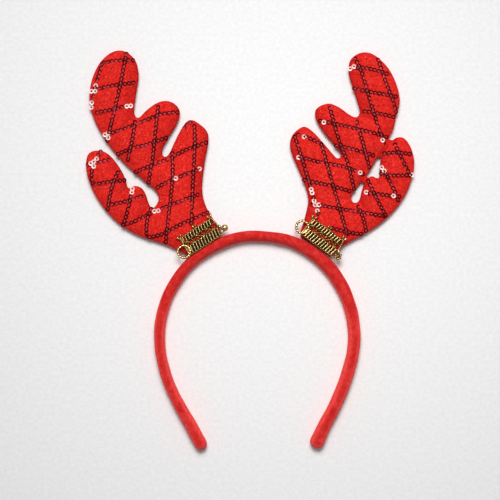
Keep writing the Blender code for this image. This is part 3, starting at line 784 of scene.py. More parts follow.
@dataclass
class HairBand:
    """The padded band: a stiff strip in foam, covered in velvet. Sizes are in millimetres.

    The foam's lumps and the cloth's puckers are given by height and size. The cloth laps over itself at
    lap_angle degrees round the section, steps up over lap_step of them and fades out over lap_reach. The
    streak is painted shade along the top, where the velvet faces straight up and looks darker. It is
    mottled, broad at the crown, above crown_line, and narrow on the legs.
    """

    height: float = 10.5
    squareness: float = 2.4
    flat: float = 0.45
    lean: float = 0.35
    step: float = 1.3
    sides: int = 44
    cap_lengths: tuple[float, float] = (5.0, 4.2)
    cap_rings: int = 7
    cap_angle: float = 82.0
    cap_taper: float = 0.8
    lump: float = 0.22
    lump_size: float = 9.0
    lump_rise: float = 4.0
    pucker: float = 0.07
    pucker_size: float = 2.4
    lap: float = 0.3
    lap_angle: float = -128.0
    lap_step: float = 2.0
    lap_reach: float = 40.0
    slack: float = 0.04
    fullest: float = 0.985
    gap: float = 0.3
    crown_line: float = -5.0
    streak_fade: float = 40.0
    crown_reach: float = 0.6
    leg_reach: float = 0.9
    streak_edge: float = 0.08
    streak_depth: float = 0.95
    streak_level: float = 0.82
    blotch: float = 0.35
    blotch_size: float = 3.2
    speckle: float = 0.4
    speckle_size: float = 1.5
    stations: list[BandSection] = field(default_factory=list)

    def __post_init__(self) -> None:
        """Lay out the sections closely from the left end to the right end."""
        knots = [Vector(section) for section in BAND_SECTIONS]
        self.stations = [BandSection(*point) for point in smooth_through(knots, self.step)]

    def heading(self, index: int) -> Vector:
        """Find the band's direction in plan.

        Args:
            index: The section's number.

        Returns:
            The unit direction there, towards the right end.
        """
        before = self.stations[max(index - 1, 0)]
        after = self.stations[min(index + 1, len(self.stations) - 1)]
        return Vector((after.x - before.x, after.y - before.y, 0.0)).normalized()

    def outer_edge(self) -> list[Vector]:
        """Trace the band's outer edge in plan.

        Returns:
            Points a gap outside it, from the left end to the right end.
        """
        edge = []
        for index, section in enumerate(self.stations):
            heading = self.heading(index)
            outward = Vector((-heading.y, heading.x, 0.0))
            edge.append(Vector((section.x, section.y, 0.0)) + outward * (section.width / 2 + self.gap))
        return edge

    def rings(self) -> list[SkinRing]:
        """Lay out the rings of the skin.

        Returns:
            The rings from the left end to the right end, those of the round ends included.
        """
        rings = []
        for index, section in enumerate(self.stations):
            centre = Vector((section.x, section.y, 0.0))
            rings.append(SkinRing(centre, self.heading(index), section.width, 1.0))
        left_cap = self.cap(rings[0], -self.cap_lengths[0])
        right_cap = self.cap(rings[-1], self.cap_lengths[1])
        return left_cap[::-1] + rings + right_cap

    def cap(self, end: SkinRing, length: float) -> list[SkinRing]:
        """Round off one end of the band.

        Args:
            end: The ring that the round end grows from.
            length: How far it reaches along the band's heading.

        Returns:
            Its rings, from the widest to the smallest.
        """
        rings = []
        for number in range(1, self.cap_rings + 1):
            angle = math.radians(self.cap_angle * number / self.cap_rings)
            centre = end.centre + end.heading * length * math.sin(angle)
            rings.append(SkinRing(centre, end.heading, end.width, math.cos(angle) ** self.cap_taper))
        return rings

    def skin_point(self, ring: SkinRing, share: float) -> Vector:
        """Find a point of the velvet.

        Args:
            ring: The ring that the point lies on.
            share: How far round the section the point is, from 0 to 1.

        Returns:
            The point in millimetres, with the foam's lumps and the lap of the cloth.
        """
        centre, heading, width, scale = ring
        outward = Vector((-heading.y, heading.x, 0.0))
        angle = 2 * math.pi * share
        power = 2 / self.squareness
        across = math.copysign(abs(math.cos(angle)) ** power, math.cos(angle))
        up = math.copysign(abs(math.sin(angle)) ** power, math.sin(angle))
        place = centre + outward * across * width / 2
        spot = Vector((place.x, place.y, up * self.lump_rise))
        lumps = noise.noise(spot / self.lump_size) * self.lump
        lumps += noise.noise(spot / self.pucker_size + OTHER_NOISE) * self.pucker
        swollen = scale * (1 + (lumps + self.lap_at(angle)) / (width / 2) - self.slack)
        offset = across * swollen * width / 2 + self.lean * up * scale
        half_height = self.height / 2
        height = half_height * (1 + up * min(swollen, self.fullest)) - self.flat
        height = max(height * self.height / (self.height - self.flat), 0.0)
        point = centre + outward * offset
        point.z = height
        return point

    def lap_at(self, angle: float) -> float:
        """Find how much the lap of the cloth thickens the section.

        Args:
            angle: The direction round the section, in radians.

        Returns:
            The lap's thickness there.
        """
        turned = (math.degrees(angle) - self.lap_angle) % 360.0
        if turned > self.lap_step:
            return self.lap * max(0.0, 1 - turned / self.lap_reach)
        return self.lap * turned / self.lap_step

    def build(self, finish: bpy.types.Material) -> bpy.types.Object:
        """Loft the velvet skin ring by ring and close its round ends.

        Args:
            finish: The velvet.

        Returns:
            The dressed band.
        """
        shape = bmesh.new()
        rings = self.rings()
        first = bmesh.ops.create_circle(shape, segments=self.sides, radius=1.0)["verts"]
        loop = sorted(first, key=lambda vert: math.atan2(vert.co.y, vert.co.x) % (2 * math.pi))
        ends = [list(loop)]
        edges = list(shape.edges)
        self.place_ring(loop, rings[0])
        for ring in rings[1:]:
            grown = bmesh.ops.extrude_edge_only(shape, edges=edges)["geom"]
            edges = [item for item in grown if isinstance(item, bmesh.types.BMEdge)]
            loop = self.following(loop, edges)
            self.place_ring(loop, ring)
        ends.append(loop)
        for end in ends:
            bmesh.ops.contextual_create(shape, geom=end)
        bmesh.ops.recalc_face_normals(shape, faces=shape.faces)
        piece = object_from("velvet_band", shape)
        piece.data.materials.append(finish)
        self.shade(piece)
        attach(piece, "root")
        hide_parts("headband")
        return piece

    def following(self, loop: list, edges: list) -> list:
        """Put an extruded ring's vertices in the order of the ring that it grew from.

        Args:
            loop: The vertices of that ring, in order.
            edges: The edges of the extruded ring.

        Returns:
            The extruded ring's vertices, in order.
        """
        grown = {vert for edge in edges for vert in edge.verts}
        ordered = []
        for vert in loop:
            linked = [edge.other_vert(vert) for edge in vert.link_edges]
            ordered.append(next(other for other in linked if other in grown))
        return ordered

    def place_ring(self, loop: list, ring: SkinRing) -> None:
        """Move a ring's vertices onto the velvet."""
        for number, vert in enumerate(loop):
            vert.co = self.skin_point(ring, (number + 0.5) / len(loop)) * MM

    def shade(self, piece: bpy.types.Object) -> None:
        """Paint mottled shade along the top of the band, where the velvet faces straight up and looks darker.

        Args:
            piece: The band, which gets a shade attribute.
        """
        layer = piece.data.attributes.new("shade", "FLOAT", "POINT")
        for index, vert in enumerate(piece.data.vertices):
            # Painted shade: a darker, mottled streak along the top, broad at the crown and narrow on the
            # legs.
            place = vert.co / MM
            down_the_leg = unit_range((self.crown_line - place.y) / self.streak_fade)
            low = self.crown_reach + (self.leg_reach - self.crown_reach) * down_the_leg
            on_top = unit_range((place.z / self.height - low) / self.streak_edge)
            patchy = self.streak_level + self.blotch * noise.noise(place / self.blotch_size)
            patchy += self.speckle * noise.noise(place / self.speckle_size)
            layer.data[index].value = unit_range(on_top * patchy) * self.streak_depth


@dataclass
class StuffedAntler:
    """One stuffed antler: a front and a back panel sewn round the edge. Sizes are in millimetres.

    A thin slab is cut and blown up as cloth, which is simulated sim_scale times enlarged. The front may then
    rise front_rise above the seam and the back back_rise below it. near_rim, in voxels, and near_seam, in
    slabs, say what belongs to the seam. Shade is painted on the pile at the seam and where the surface turns
    towards the other antler.
    """

    pattern: AntlerPattern
    edge_step: float = 1.3
    rim_step: float = 0.25
    fold_step: float = 0.5
    foot_low: float = -20.0
    seam_height: float = 5.0
    slab: float = 2.0
    voxel: float = 1.25
    near_rim: float = 0.95
    near_seam: float = 0.35
    smoothings: int = 3
    sim_scale: float = 20.0
    sim_frames: int = 24
    pressure: float = 5.0
    front_rise: float = 4.45
    front_softness: float = 0.9
    back_rise: float = 4.95
    back_softness: float = 0.25
    least_rise: float = 0.15
    crease_depth: float = 1.3
    crease_width: float = 3.2
    row_dent: float = 0.28
    row_reach: float = 2.4
    full_dent_rise: float = 2.0
    seam_shade: float = 0.5
    seam_shade_reach: float = 1.3
    turned_shade: float = 0.6
    turned_from: float = 0.12
    turned_span: float = 0.5

    def loop(self, edge: list[Vector]) -> list[Vector]:
        """Draw the whole outline.

        Args:
            edge: The band's outer edge, which the foot follows.

        Returns:
            Points round the antler.
        """
        knots = to_vectors(knot for stretch in self.pattern.outline.values() for knot in stretch)
        sewn = smooth_through(knots, self.edge_step)
        low, high = self.pattern.foot
        foot = [point for point in edge if point.y > self.foot_low and low < point.x < high]
        return sewn + (foot[::-1] if self.pattern.side is Side.RIGHT else foot)

    def cut(self, loop: list[Vector]) -> bpy.types.Object:
        """Cut a thin slab to the outline, enlarged for the simulation.

        Args:
            loop: Points round the antler.

        Returns:
            The slab, with an even mesh.
        """
        shape = bmesh.new()
        low = self.seam_height - self.slab / 2
        corners = [shape.verts.new((point.x, point.y, low)) for point in loop]
        edges = [shape.edges.new(pair) for pair in zip(corners, corners[1:] + corners[:1])]
        base = bmesh.ops.edgeloop_fill(shape, edges=edges)["faces"]
        raised = bmesh.ops.extrude_face_region(shape, geom=base)["geom"]
        top = [item for item in raised if isinstance(item, bmesh.types.BMVert)]
        bmesh.ops.translate(shape, vec=(0.0, 0.0, self.slab), verts=top)
        bmesh.ops.scale(shape, vec=(MM * self.sim_scale,) * 3, verts=shape.verts)
        bmesh.ops.recalc_face_normals(shape, faces=shape.faces)
        piece = object_from("plush_antler_" + self.pattern.side.value, shape)
        evened = piece.modifiers.new("even", "REMESH")
        evened.mode = "VOXEL"
        evened.voxel_size = self.voxel * MM * self.sim_scale
        bake_modifiers(piece)
        return piece

    def on_seam(self, place: Vector, rim: KDTree) -> bool:
        """Tell whether a place belongs to the sewn edge.

        Args:
            place: The place in millimetres.
            rim: The sewn edge in plan.

        Returns:
            Whether it is near enough in plan and in height.
        """
        in_plan = rim.find(flat(place))[2] < self.voxel * self.near_rim
        return in_plan and abs(place.z - self.seam_height) < self.slab * self.near_seam

    def true_up(self, piece: bpy.types.Object, rim: KDTree) -> None:
        """Lay the seam exactly on the sewn edge and round the slab's edges off.

        Args:
            piece: The slab.
            rim: The sewn edge in plan.
        """
        unit = MM * self.sim_scale
        shape = bmesh.new()
        shape.from_mesh(piece.data)
        free = []
        for vert in shape.verts:
            place = vert.co / unit
            if self.on_seam(place, rim):
                sewn = rim.find(flat(place))[0]
                vert.co = Vector((sewn.x, sewn.y, place.z)) * unit
            else:
                free.append(vert)
        for _ in range(self.smoothings):
            bmesh.ops.smooth_vert(
                shape, verts=free, factor=0.5, use_axis_x=True, use_axis_y=True, use_axis_z=True
            )
        shape.to_mesh(piece.data)
        shape.free()

    def stuff(self, piece: bpy.types.Object, rim: KDTree) -> None:
        """Blow the slab up as cloth, with the seam held where it is.

        Args:
            piece: The slab.
            rim: The sewn edge in plan.
        """
        unit = MM * self.sim_scale
        held = piece.vertex_groups.new(name="seam")
        for vert in piece.data.vertices:
            if self.on_seam(vert.co / unit, rim):
                held.add([vert.index], 1.0, "REPLACE")
        cloth = piece.modifiers.new("stuffing", "CLOTH")
        settings = cloth.settings
        settings.quality = 6
        settings.mass = 0.15
        settings.tension_stiffness = 12.0
        settings.compression_stiffness = 8.0
        settings.shear_stiffness = 4.0
        settings.bending_stiffness = 0.4
        settings.shrink_min = -0.05
        settings.use_pressure = True
        settings.uniform_pressure_force = self.pressure
        settings.vertex_group_mass = held.name
        settings.effector_weights.gravity = 0.0
        cloth.point_cache.frame_start = 1
        cloth.point_cache.frame_end = self.sim_frames
        for number in range(1, self.sim_frames + 1):
            bpy.context.scene.frame_set(number)
        bake_modifiers(piece)
        bpy.context.scene.frame_set(1)

    def settle(self, piece: bpy.types.Object, lines: Iterable[list[Vector]]) -> None:
        """Press the stuffed antler into its space and pull its fold and its rows of sequins in.

        Args:
            piece: The stuffed antler, enlarged, which gets its real size back.
            lines: The rows of sequins.
        """
        unit = MM * self.sim_scale
        fold = tree_of(smooth_through(to_vectors(self.pattern.crease), self.fold_step))
        rows = tree_of([point for line in lines for point in line])

        def pressed(co: Vector) -> Vector:
            """Find a vertex's place on the finished antler."""
            place = co / unit
            plan = flat(place)
            rise = place.z - self.seam_height
            if rise > 0:
                rise = self.soft_cap(rise, self.front_rise, self.front_softness)
                rise -= self.crease_depth * max(0.0, 1 - fold.find(plan)[2] / self.crease_width) ** 2
                near = max(0.0, 1 - rows.find(plan)[2] / self.row_reach)
                rise -= self.row_dent * near * near * unit_range(rise / self.full_dent_rise)
                rise = max(rise, self.least_rise)
            else:
                rise = -self.soft_cap(-rise, self.back_rise, self.back_softness)
            return Vector((place.x, place.y, self.seam_height + rise)) * MM

        reshape(piece, pressed)

    def soft_cap(self, value: float, most: float, softness: float) -> float:
        """Hold a height under a limit, rounding the way into it."""
        over = (value - most) / softness
        return most if over > 12 else most - softness * math.log1p(math.exp(-over))

    def build(
        self, edge: list[Vector], lines: Iterable[list[Vector]], finish: bpy.types.Material
    ) -> bpy.types.Object:
        """Make the antler.

        Args:
            edge: The band's outer edge, which the foot follows.
            lines: The rows of sequins, which pull the plush in.
            finish: The plush.

        Returns:
            The antler, cut, stuffed, settled and dressed.
        """
        loop = self.loop(edge)
        piece = self.cut(loop)
        rim = tree_of(smooth_through([*loop, loop[0]], self.rim_step))
        self.true_up(piece, rim)
        self.stuff(piece, rim)
        self.settle(piece, lines)
        rounded = piece.modifiers.new("round", "SUBSURF")
        rounded.levels = 1
        rounded.render_levels = 1
        bake_modifiers(piece)
        piece.data.materials.append(finish)
        self.shade(piece, rim)
        side = self.pattern.side.value
        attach(piece, "root")
        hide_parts(f"antler_{side}_front", f"antler_{side}_back")
        return piece

    def shade(self, piece: bpy.types.Object, rim: KDTree) -> None:
        """Paint shade on the pile: at the seam, and where the surface turns towards the other antler.

        Args:
            piece: The antler, which gets a shade attribute.
            rim: The sewn edge in plan.
        """
        layer = piece.data.attributes.new("shade", "FLOAT", "POINT")
        # Painted shade: darker along the seam and on the slopes that face the other antler.
        inward = Vector((1.0 if self.pattern.side is Side.LEFT else -1.0, 0.0, 0.0))
        for index, vert in enumerate(piece.data.vertices):
            plan = flat(vert.co) / MM
            at_seam = max(0.0, 1 - rim.find(plan)[2] / self.seam_shade_reach)
            turned = unit_range((vert.normal.dot(inward) - self.turned_from) / self.turned_span)
            layer.data[index].value = min(self.seam_shade * at_seam + self.turned_shade * turned, 1.0)


class Placed(NamedTuple):
    """A sequin's place: its centre, the way it faces, its heading and its tone."""

    centre: Vector
    facing: Vector
    heading: Vector
    tone: float


@dataclass
class SequinRows:
    """The sequins of one antler and the thread that holds them. Sizes are in millimetres.

    Angles are in degrees. tilt, roll_across and roll_along are the spread of the small random turns. A sequin
    lies level but for a share of the plush's slope: least_follow, and follow_gain times more where it is
    steep. None lies under lowest, or where the cast ornament covers the plush: from clear_from to clear_to
    along the ornament, up to clear_top.
    """

    pattern: AntlerPattern
    outer_radius: float = 1.5
    hole_radius: float = 0.72
    film: float = 0.1
    cup: float = 0.12
    segments: int = 14
    pitch: float = 2.75
    lift: float = 0.2
    lean_lift: float = 0.25
    crossing_lift: float = 0.28
    crossing_reach: float = 2.0
    tilt: float = 4.0
    roll_across: float = 5.0
    roll_along: float = 15.0
    overlap_tilt: float = 6.0
    flash_reach: float = 2.0
    flash_sway: float = 0.05
    flash_tones: Point = (1.85, 2.0)
    thread_radius: float = 0.13
    thread_rise: float = 0.26
    thread_stretch: float = 9.0
    thread_shows: float = 0.05
    knot_gain: float = 2.1
    lowest: float = 5.7
    least_follow: float = 0.35
    follow_gain: float = 1.5
    droop: float = 0.1
    clear_from: float = -1.5
    clear_to: float = 28.0
    clear_top: float = 14.5
    high_above: float = 40.0
    sharp_angle: float = 40.0
    seed: int = 11

    def template(self) -> bpy.types.Mesh:
        """Stamp one sequin: a slightly cupped ring of film.

        Returns:
            Its mesh, facing up.
        """
        shape = bmesh.new()
        bmesh.ops.create_circle(shape, segments=self.segments, radius=self.outer_radius * MM)
        outer = list(shape.verts)
        bmesh.ops.create_circle(shape, segments=self.segments, radius=self.hole_radius * MM)
        bmesh.ops.bridge_loops(shape, edges=shape.edges)
        bmesh.ops.translate(shape, vec=(0.0, 0.0, self.cup * MM), verts=outer)
        bmesh.ops.recalc_face_normals(shape, faces=shape.faces)
        bmesh.ops.solidify(shape, geom=list(shape.faces), thickness=self.film * MM)
        bmesh.ops.recalc_face_normals(shape, faces=shape.faces)
        mesh = bpy.data.meshes.new("sequin")
        shape.to_mesh(mesh)
        shape.free()
        return mesh

    def under_ornament(self, point: Vector) -> bool:
        """Tell whether the cast ornament covers a place.

        Args:
            point: The place in plan.

        Returns:
            Whether it lies within the ornament's box.
        """
        angle = math.radians(self.pattern.turn)
        along = Vector((math.cos(angle), math.sin(angle)))
        offset = point.to_2d() - Vector(self.pattern.corner)
        x = offset.dot(along)
        y = offset.dot(Vector((-along.y, along.x)))
        return self.clear_from < x < self.clear_to and y < self.clear_top

    def space_out(self, rows: list[SequinRow]) -> tuple[list[list[Vector]], set[tuple[int, int]]]:
        """Space the sequins out along their rows.

        Args:
            rows: The rows in plan.

        Returns:
            The places of each row, and the row and number of every sequin that gets a painted highlight.
            Those sequins lie exactly on the places that the pattern gives.
        """
        places = [spread_evenly(row.line, self.pitch) for row in rows]
        numbered = [(index, number) for index, row in enumerate(places) for number in range(len(row))]
        tree = tree_of([places[index][number] for index, number in numbered])
        painted_flashing = set()
        for spot in to_vectors(self.pattern.painted_flashes):
            _, nearest, reach = tree.find(spot)
            if reach < self.flash_reach:
                index, number = numbered[nearest]
                places[index][number] = spot
                painted_flashing.add((index, number))
        return places, painted_flashing

    def lay(self, ground: BVHTree, rows: list[SequinRow]) -> list[list[Placed]]:
        """Lay every row out on the plush.

        Args:
            ground: The antler's surface.
            rows: The rows in plan.

        Returns:
            The sequins of each row in order.
        """
        chance = random.Random(self.seed)
        places, painted_flashing = self.space_out(rows)
        down: list[Placed] = []
        laid = []
        for index, (row, spots) in enumerate(zip(rows, places)):
            chain = []
            for number, spot in enumerate(spots):
                ahead = spots[min(number + 1, len(spots) - 1)] - spots[max(number - 1, 0)]
                hit, normal, _, _ = ground.ray_cast((spot + UP * self.high_above) * MM, -UP)
                if hit is None or hit.z < self.lowest * MM or self.under_ornament(spot):
                    continue
                reach = self.crossing_reach * MM
                near = [other for other in down if (other.centre - hit).to_2d().length < reach]
                placed = self.settle(hit, normal, ahead.normalized(), row.along, chance)
                rise = self.lift + self.crossing_lift * min(len(near), 2)
                rise += self.lean_lift * math.hypot(placed.facing.x, placed.facing.y)
                placed = placed._replace(centre=hit + UP * (rise * MM))
                if (index, number) in painted_flashing:
                    placed = self.turn_up(placed, chance)
                chain.append(placed)
            down += chain
            laid.append(chain)
        return laid

    def settle(
        self, hit: Vector, normal: Vector, ahead: Vector, along: bool, chance: random.Random
    ) -> Placed:
        """Lay one sequin on the plush.

        Args:
            hit: The place on the plush, in metres.
            normal: The plush's outward direction there.
            ahead: The row's direction.
            along: Whether the row runs along the antler, where the sequins roll more.
            chance: The source of small differences.

        Returns:
            The sequin, leaning on the next one of its row.
        """
        follow = min(1.0, self.least_follow + self.follow_gain * (1 - normal.z))
        facing = (UP.lerp(normal, follow) + Vector((0.0, -self.droop, 0.0))).normalized()
        heading = (ahead - facing * ahead.dot(facing)).normalized()
        across = facing.cross(heading)
        roll = self.roll_along if along else self.roll_across
        lean = Matrix.Rotation(math.radians(chance.gauss(self.overlap_tilt, self.tilt)), 3, across)
        rolled = Matrix.Rotation(math.radians(chance.gauss(0.0, roll)), 3, heading)
        return Placed(hit, lean @ rolled @ facing, heading, chance.random())

    def turn_up(self, placed: Placed, chance: random.Random) -> Placed:
        """Turn a sequin to face up, on top of its neighbours, and give it a painted highlight.

        Args:
            placed: The sequin as it was laid.
            chance: The source of small differences.

        Returns:
            The sequin, raised, with a painted highlight.
        """
        sway = self.flash_sway
        facing = Vector((chance.gauss(0.0, sway), chance.gauss(0.0, sway), 1.0)).normalized()
        raised = placed.centre + UP * (self.crossing_lift * MM)
        # Its colour number, drawn from flash_tones, lies past flash_from and paints a highlight on the
        # sequin.
        return placed._replace(centre=raised, facing=facing, tone=chance.uniform(*self.flash_tones))

    def build_sequins(self, rows: list[list[Placed]], finish: bpy.types.Material) -> bpy.types.Object:
        """Make one piece of all the sequins.

        Args:
            rows: The sequins of each row.
            finish: The film.

        Returns:
            The dressed sequins, each with its own tone.
        """
        stamp = self.template()
        shape = bmesh.new()
        tone = shape.verts.layers.float.new("tone")
        for sequin in (sequin for row in rows for sequin in row):
            before = len(shape.verts)
            shape.from_mesh(stamp)
            shape.verts.ensure_lookup_table()
            added = shape.verts[before:]
            turn = UP.rotation_difference(sequin.facing).to_matrix().to_4x4()
            bmesh.ops.transform(shape, matrix=Matrix.Translation(sequin.centre) @ turn, verts=added)
            for vert in added:
                vert[tone] = sequin.tone
        piece = object_from("sequins_" + self.pattern.side.value, shape)
        piece.data.set_sharp_from_angle(angle=math.radians(self.sharp_angle))
        piece.data.materials.append(finish)
        bpy.data.meshes.remove(stamp)
        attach(piece, "root")
        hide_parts("sequin_net_" + self.pattern.side.value)
        return piece

    def build_thread(
        self, rows: list[SequinRow], laid: list[list[Placed]], finish: bpy.types.Material
    ) -> bpy.types.Object:
        """Run the thread along each row: thick in each hole, and over the rims here and there.

        Args:
            rows: The rows in plan.
            laid: The sequins of each row.
            finish: The thread's finish.

        Returns:
            The dressed thread.
        """
        name = "sequin_thread_" + self.pattern.side.value
        lines = []
        for row, chain in zip(rows, laid):
            if len(chain) < 2:
                continue
            line = []
            for here, there in zip(chain, chain[1:]):
                line.append(Knot(here.centre, self.knot_gain))
                middle = here.centre.lerp(there.centre, 0.5)
                over = row.along and noise.noise(middle / MM / self.thread_stretch) > self.thread_shows
                rise = self.thread_rise if over else -self.thread_rise / 2
                line.append(Knot(middle + UP * (rise * MM)))
            line.append(Knot(chain[-1].centre, self.knot_gain))
            lines.append(line)
        mesh = draw_tubes(name, lines, self.thread_radius * MM, roundness=1)
        mesh.shade_smooth()
        piece = put_in_scene(name, mesh)
        piece.data.materials.clear()
        piece.data.materials.append(finish)
        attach(piece, "root")
        return piece


class Stroke(NamedTuple):
    """One bar of the cast openwork: its centre line in the ornament's own frame and its width."""

    points: list[Point]
    width: float


class Leaf(NamedTuple):
    """A cast leaf in the ornament's own frame: its middle, its direction in degrees, length and width."""

    middle: Point
    turn: float
    length: float
    width: float


@dataclass
class CastOrnament:
    """The cast openwork at an antler's foot: two fluted tiers, a vine, leaves, a roped ring and a knob.

    Sizes are in millimetres, in the ornament's own frame along its lower rail. relief is how much higher a
    bar is than it is wide. A tier is given by the heights of its two rails, and its flutes and its plate by
    where they start and how far from the ornament's end they stop.
    """

    pattern: AntlerPattern
    underside: float = 9.95
    thickness: float = 1.8
    relief: float = 1.64
    length: float = 26.0
    line_step: float = 0.6
    rail: float = 0.8
    thin_rail: float = 0.7
    end_bar: float = 0.95
    lower_tier: Point = (0.6, 6.0)
    upper_tier: Point = (9.4, 13.0)
    flute: float = 1.3
    flute_pitch: float = 2.05
    flute_lean: float = 0.2
    lower_flutes: Point = (1.2, 0.8)
    upper_flutes: Point = (2.0, 1.6)
    plate: float = 0.5
    plate_inset: float = 0.6
    lower_plate: Point = (0.6, 1.6)
    upper_plate: Point = (3.6, 1.8)
    vine_start: float = 1.6
    vine_inset: float = 3.0
    vine_pitch: float = 1.9
    vine_height: float = 1.2
    berry: float = 0.65
    berry_height: float = 0.54
    leaves: tuple[Leaf, ...] = (
        Leaf((0.2, 14.0), 128.0, 3.6, 1.3),
        Leaf((2.4, 14.6), 66.0, 3.2, 1.2),
        Leaf((12.4, 14.9), 112.0, 2.8, 1.2),
        Leaf((14.2, 14.9), 68.0, 2.8, 1.2),
        Leaf((23.8, 14.9), 108.0, 3.2, 1.2),
        Leaf((25.7, 14.6), 52.0, 3.8, 1.3),
        Leaf((26.9, 5.4), 100.0, 3.4, 1.7),
    )
    ring_centre: Point = (-1.3, 4.6)
    ring_radius: float = 4.0
    ring_width: float = 1.45
    ring_twists: int = 14
    twist_size: Point = (2.4, 1.55)
    twist_lean: float = 38.0
    ring_points: int = 40
    loop_centre: Point = (26.5, 2.3)
    loop_radius: float = 1.15
    loop_points: int = 20
    ball_centre: Point = (29.2, 3.05)
    ball_radius: float = 2.25
    rosette_centre: Point = (28.5, 3.0)
    rosette_heart: float = 0.81
    rosette_bead: float = 0.918
    rosette_spread: float = 1.782
    rosette_beads: int = 6
    voxel: float = 0.17

    def strokes(self) -> list[Stroke]:
        """Lay out the bars of the openwork.

        Returns:
            The rails, the end bars, the vine between the tiers and the flutes.
        """
        low, middle_low = self.lower_tier
        middle_high, high = self.upper_tier
        length = self.length
        strokes = [
            Stroke([(-0.6, low), (length / 2, low - 0.25), (length + 0.4, low)], self.rail),
            Stroke([(1.0, middle_low), (length - 0.2, middle_low)], self.thin_rail),
            Stroke([(1.2, middle_high), (length - 0.4, middle_high)], self.thin_rail),
            Stroke([(1.2, high), (length / 2, high + 0.3), (length - 0.4, high)], self.rail),
            Stroke([(0.4, low), (0.9, middle_low), (1.2, high)], self.end_bar),
            Stroke([(length - 0.7, high), (length, 9.0), (length + 0.2, 5.2)], self.end_bar),
            Stroke(self.vine(self.vine_height), self.thin_rail),
        ]
        strokes += self.flutes(self.lower_tier, self.lower_flutes)
        strokes += self.flutes(self.upper_tier, self.upper_flutes)
        return strokes

    def vine(self, height: float) -> list[Point]:
        """Find the turning points of a wave between the tiers.

        Args:
            height: How far it swings up first, or down if that is under zero.

        Returns:
            Its points on the middle line and at each swing.
        """
        middle = (self.lower_tier[1] + self.upper_tier[0]) / 2
        count = int((self.length - self.vine_inset) / self.vine_pitch)
        points = []
        for index in range(count + 1):
            sway = (0.0, 1.0, 0.0, -1.0)[index % 4]
            points.append((self.vine_start + index * self.vine_pitch, middle + height * sway))
        return points

    def flutes(self, tier: Point, reach: Point) -> list[Stroke]:
        """Lay even slanted flutes side by side.

        Args:
            tier: The heights of their lower and upper ends.
            reach: Where the first one starts, and how far from the ornament's end the last one may lie.

        Returns:
            The flutes, all alike.
        """
        foot, tip = tier
        start, clearance = reach
        lean = self.flute_lean * (tip - foot)
        flutes = []
        for index in range(int((self.length - clearance - start - lean) / self.flute_pitch) + 1):
            x = start + index * self.flute_pitch
            flutes.append(Stroke([(x, foot), (x + lean, tip)], self.flute))
        return flutes

    def cast(self, shape: bmesh.types.BMesh, line: list[Vector], width: float, closed: bool) -> None:
        """Add one rounded bar.

        Args:
            shape: The casting.
            line: The bar's centre line.
            width: The bar's width.
            closed: Whether the bar is a ring.
        """
        bar = draw_tubes("bar", [[Knot(point) for point in line]], width / 2, 3, closed)
        shape.from_mesh(bar)
        bpy.data.meshes.remove(bar)

    def circle(self, centre: Point, radius: float, count: int) -> list[Vector]:
        """Spread points round a circle.

        Args:
            centre: The circle's middle.
            radius: Its radius.
            count: How many points there are.

        Returns:
            The points.
        """
        places = []
        for index in range(count):
            angle = 2 * math.pi * index / count
            reach = Vector((radius * math.cos(angle), radius * math.sin(angle), 0.0))
            places.append(Vector((*centre, 0.0)) + reach)
        return places

    def add_bead(self, shape: bmesh.types.BMesh, centre: Point, radius: float) -> None:
        """Add one round bead."""
        place = Matrix.Translation(Vector((*centre, 0.0)))
        bmesh.ops.create_icosphere(shape, subdivisions=2, radius=radius, matrix=place)

    def add_leaf(self, shape: bmesh.types.BMesh, leaf: Leaf) -> None:
        """Add one leaf: a long oval, as high as it is wide.

        Args:
            shape: The casting.
            leaf: The leaf.
        """
        place = Matrix.Translation(Vector((*leaf.middle, 0.0)))
        place = place @ Matrix.Rotation(math.radians(leaf.turn), 4, "Z")
        place = place @ Matrix.Diagonal((leaf.length / 2, leaf.width / 2, leaf.width / 2, 1.0))
        bmesh.ops.create_icosphere(shape, subdivisions=3, radius=1.0, matrix=place)

    def add_plates(self, shape: bmesh.types.BMesh) -> None:
        """Back each tier with a thin plate, which leans as the flutes do.

        Args:
            shape: The casting.
        """
        drop = (self.plate - self.thickness) / 2
        for tier, reach in ((self.lower_tier, self.lower_plate), (self.upper_tier, self.upper_plate)):
            low, high = tier
            start = reach[0]
            end = self.length - reach[1]
            tall = high - low - self.plate_inset
            middle = Vector(((start + end + self.flute_lean * tall) / 2, (low + high) / 2, drop))
            lean = Matrix.Identity(4)
            lean[0][1] = self.flute_lean
            size = Matrix.Diagonal((end - start, tall, self.plate, 1.0))
            bmesh.ops.create_cube(shape, size=1.0, matrix=Matrix.Translation(middle) @ lean @ size)

    def build(self, finish: bpy.types.Material) -> bpy.types.Object:
        """Cast the ornament in one piece: bars, leaves, ring and knob fused and softened.

        Args:
            finish: The gold.

        Returns:
            The dressed ornament.
        """
        shape = bmesh.new()
        for stroke in self.strokes():
            line = smooth_through(to_vectors(stroke.points), self.line_step)
            self.cast(shape, line, stroke.width, closed=False)
        for leaf in self.leaves:
            self.add_leaf(shape, leaf)
        for berry in self.vine(-self.berry_height)[1::2]:
            self.add_bead(shape, berry, self.berry)
        self.add_ring(shape)
        bmesh.ops.scale(shape, vec=(1.0, 1.0, self.relief), verts=shape.verts)
        self.add_plates(shape)
        self.add_knob(shape)
        bmesh.ops.translate(shape, vec=(0.0, 0.0, self.underside + self.thickness / 2), verts=shape.verts)
        place = Matrix.Translation(Vector((*self.pattern.corner, 0.0)))
        place = place @ Matrix.Rotation(math.radians(self.pattern.turn), 4, "Z")
        bmesh.ops.transform(shape, matrix=Matrix.Scale(MM, 4) @ place, verts=shape.verts)
        piece = object_from("cast_ornament_" + self.pattern.side.value, shape)
        fused = piece.modifiers.new("fuse", "REMESH")
        fused.mode = "VOXEL"
        fused.voxel_size = self.voxel * MM
        softened = piece.modifiers.new("soften", "SMOOTH")
        softened.factor = 0.5
        softened.iterations = 2
        bake_modifiers(piece)
        self.flatten_underside(piece)
        piece.data.materials.clear()
        piece.data.materials.append(finish)
        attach(piece, "root")
        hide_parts("plaque_" + self.pattern.side.value)
        return piece

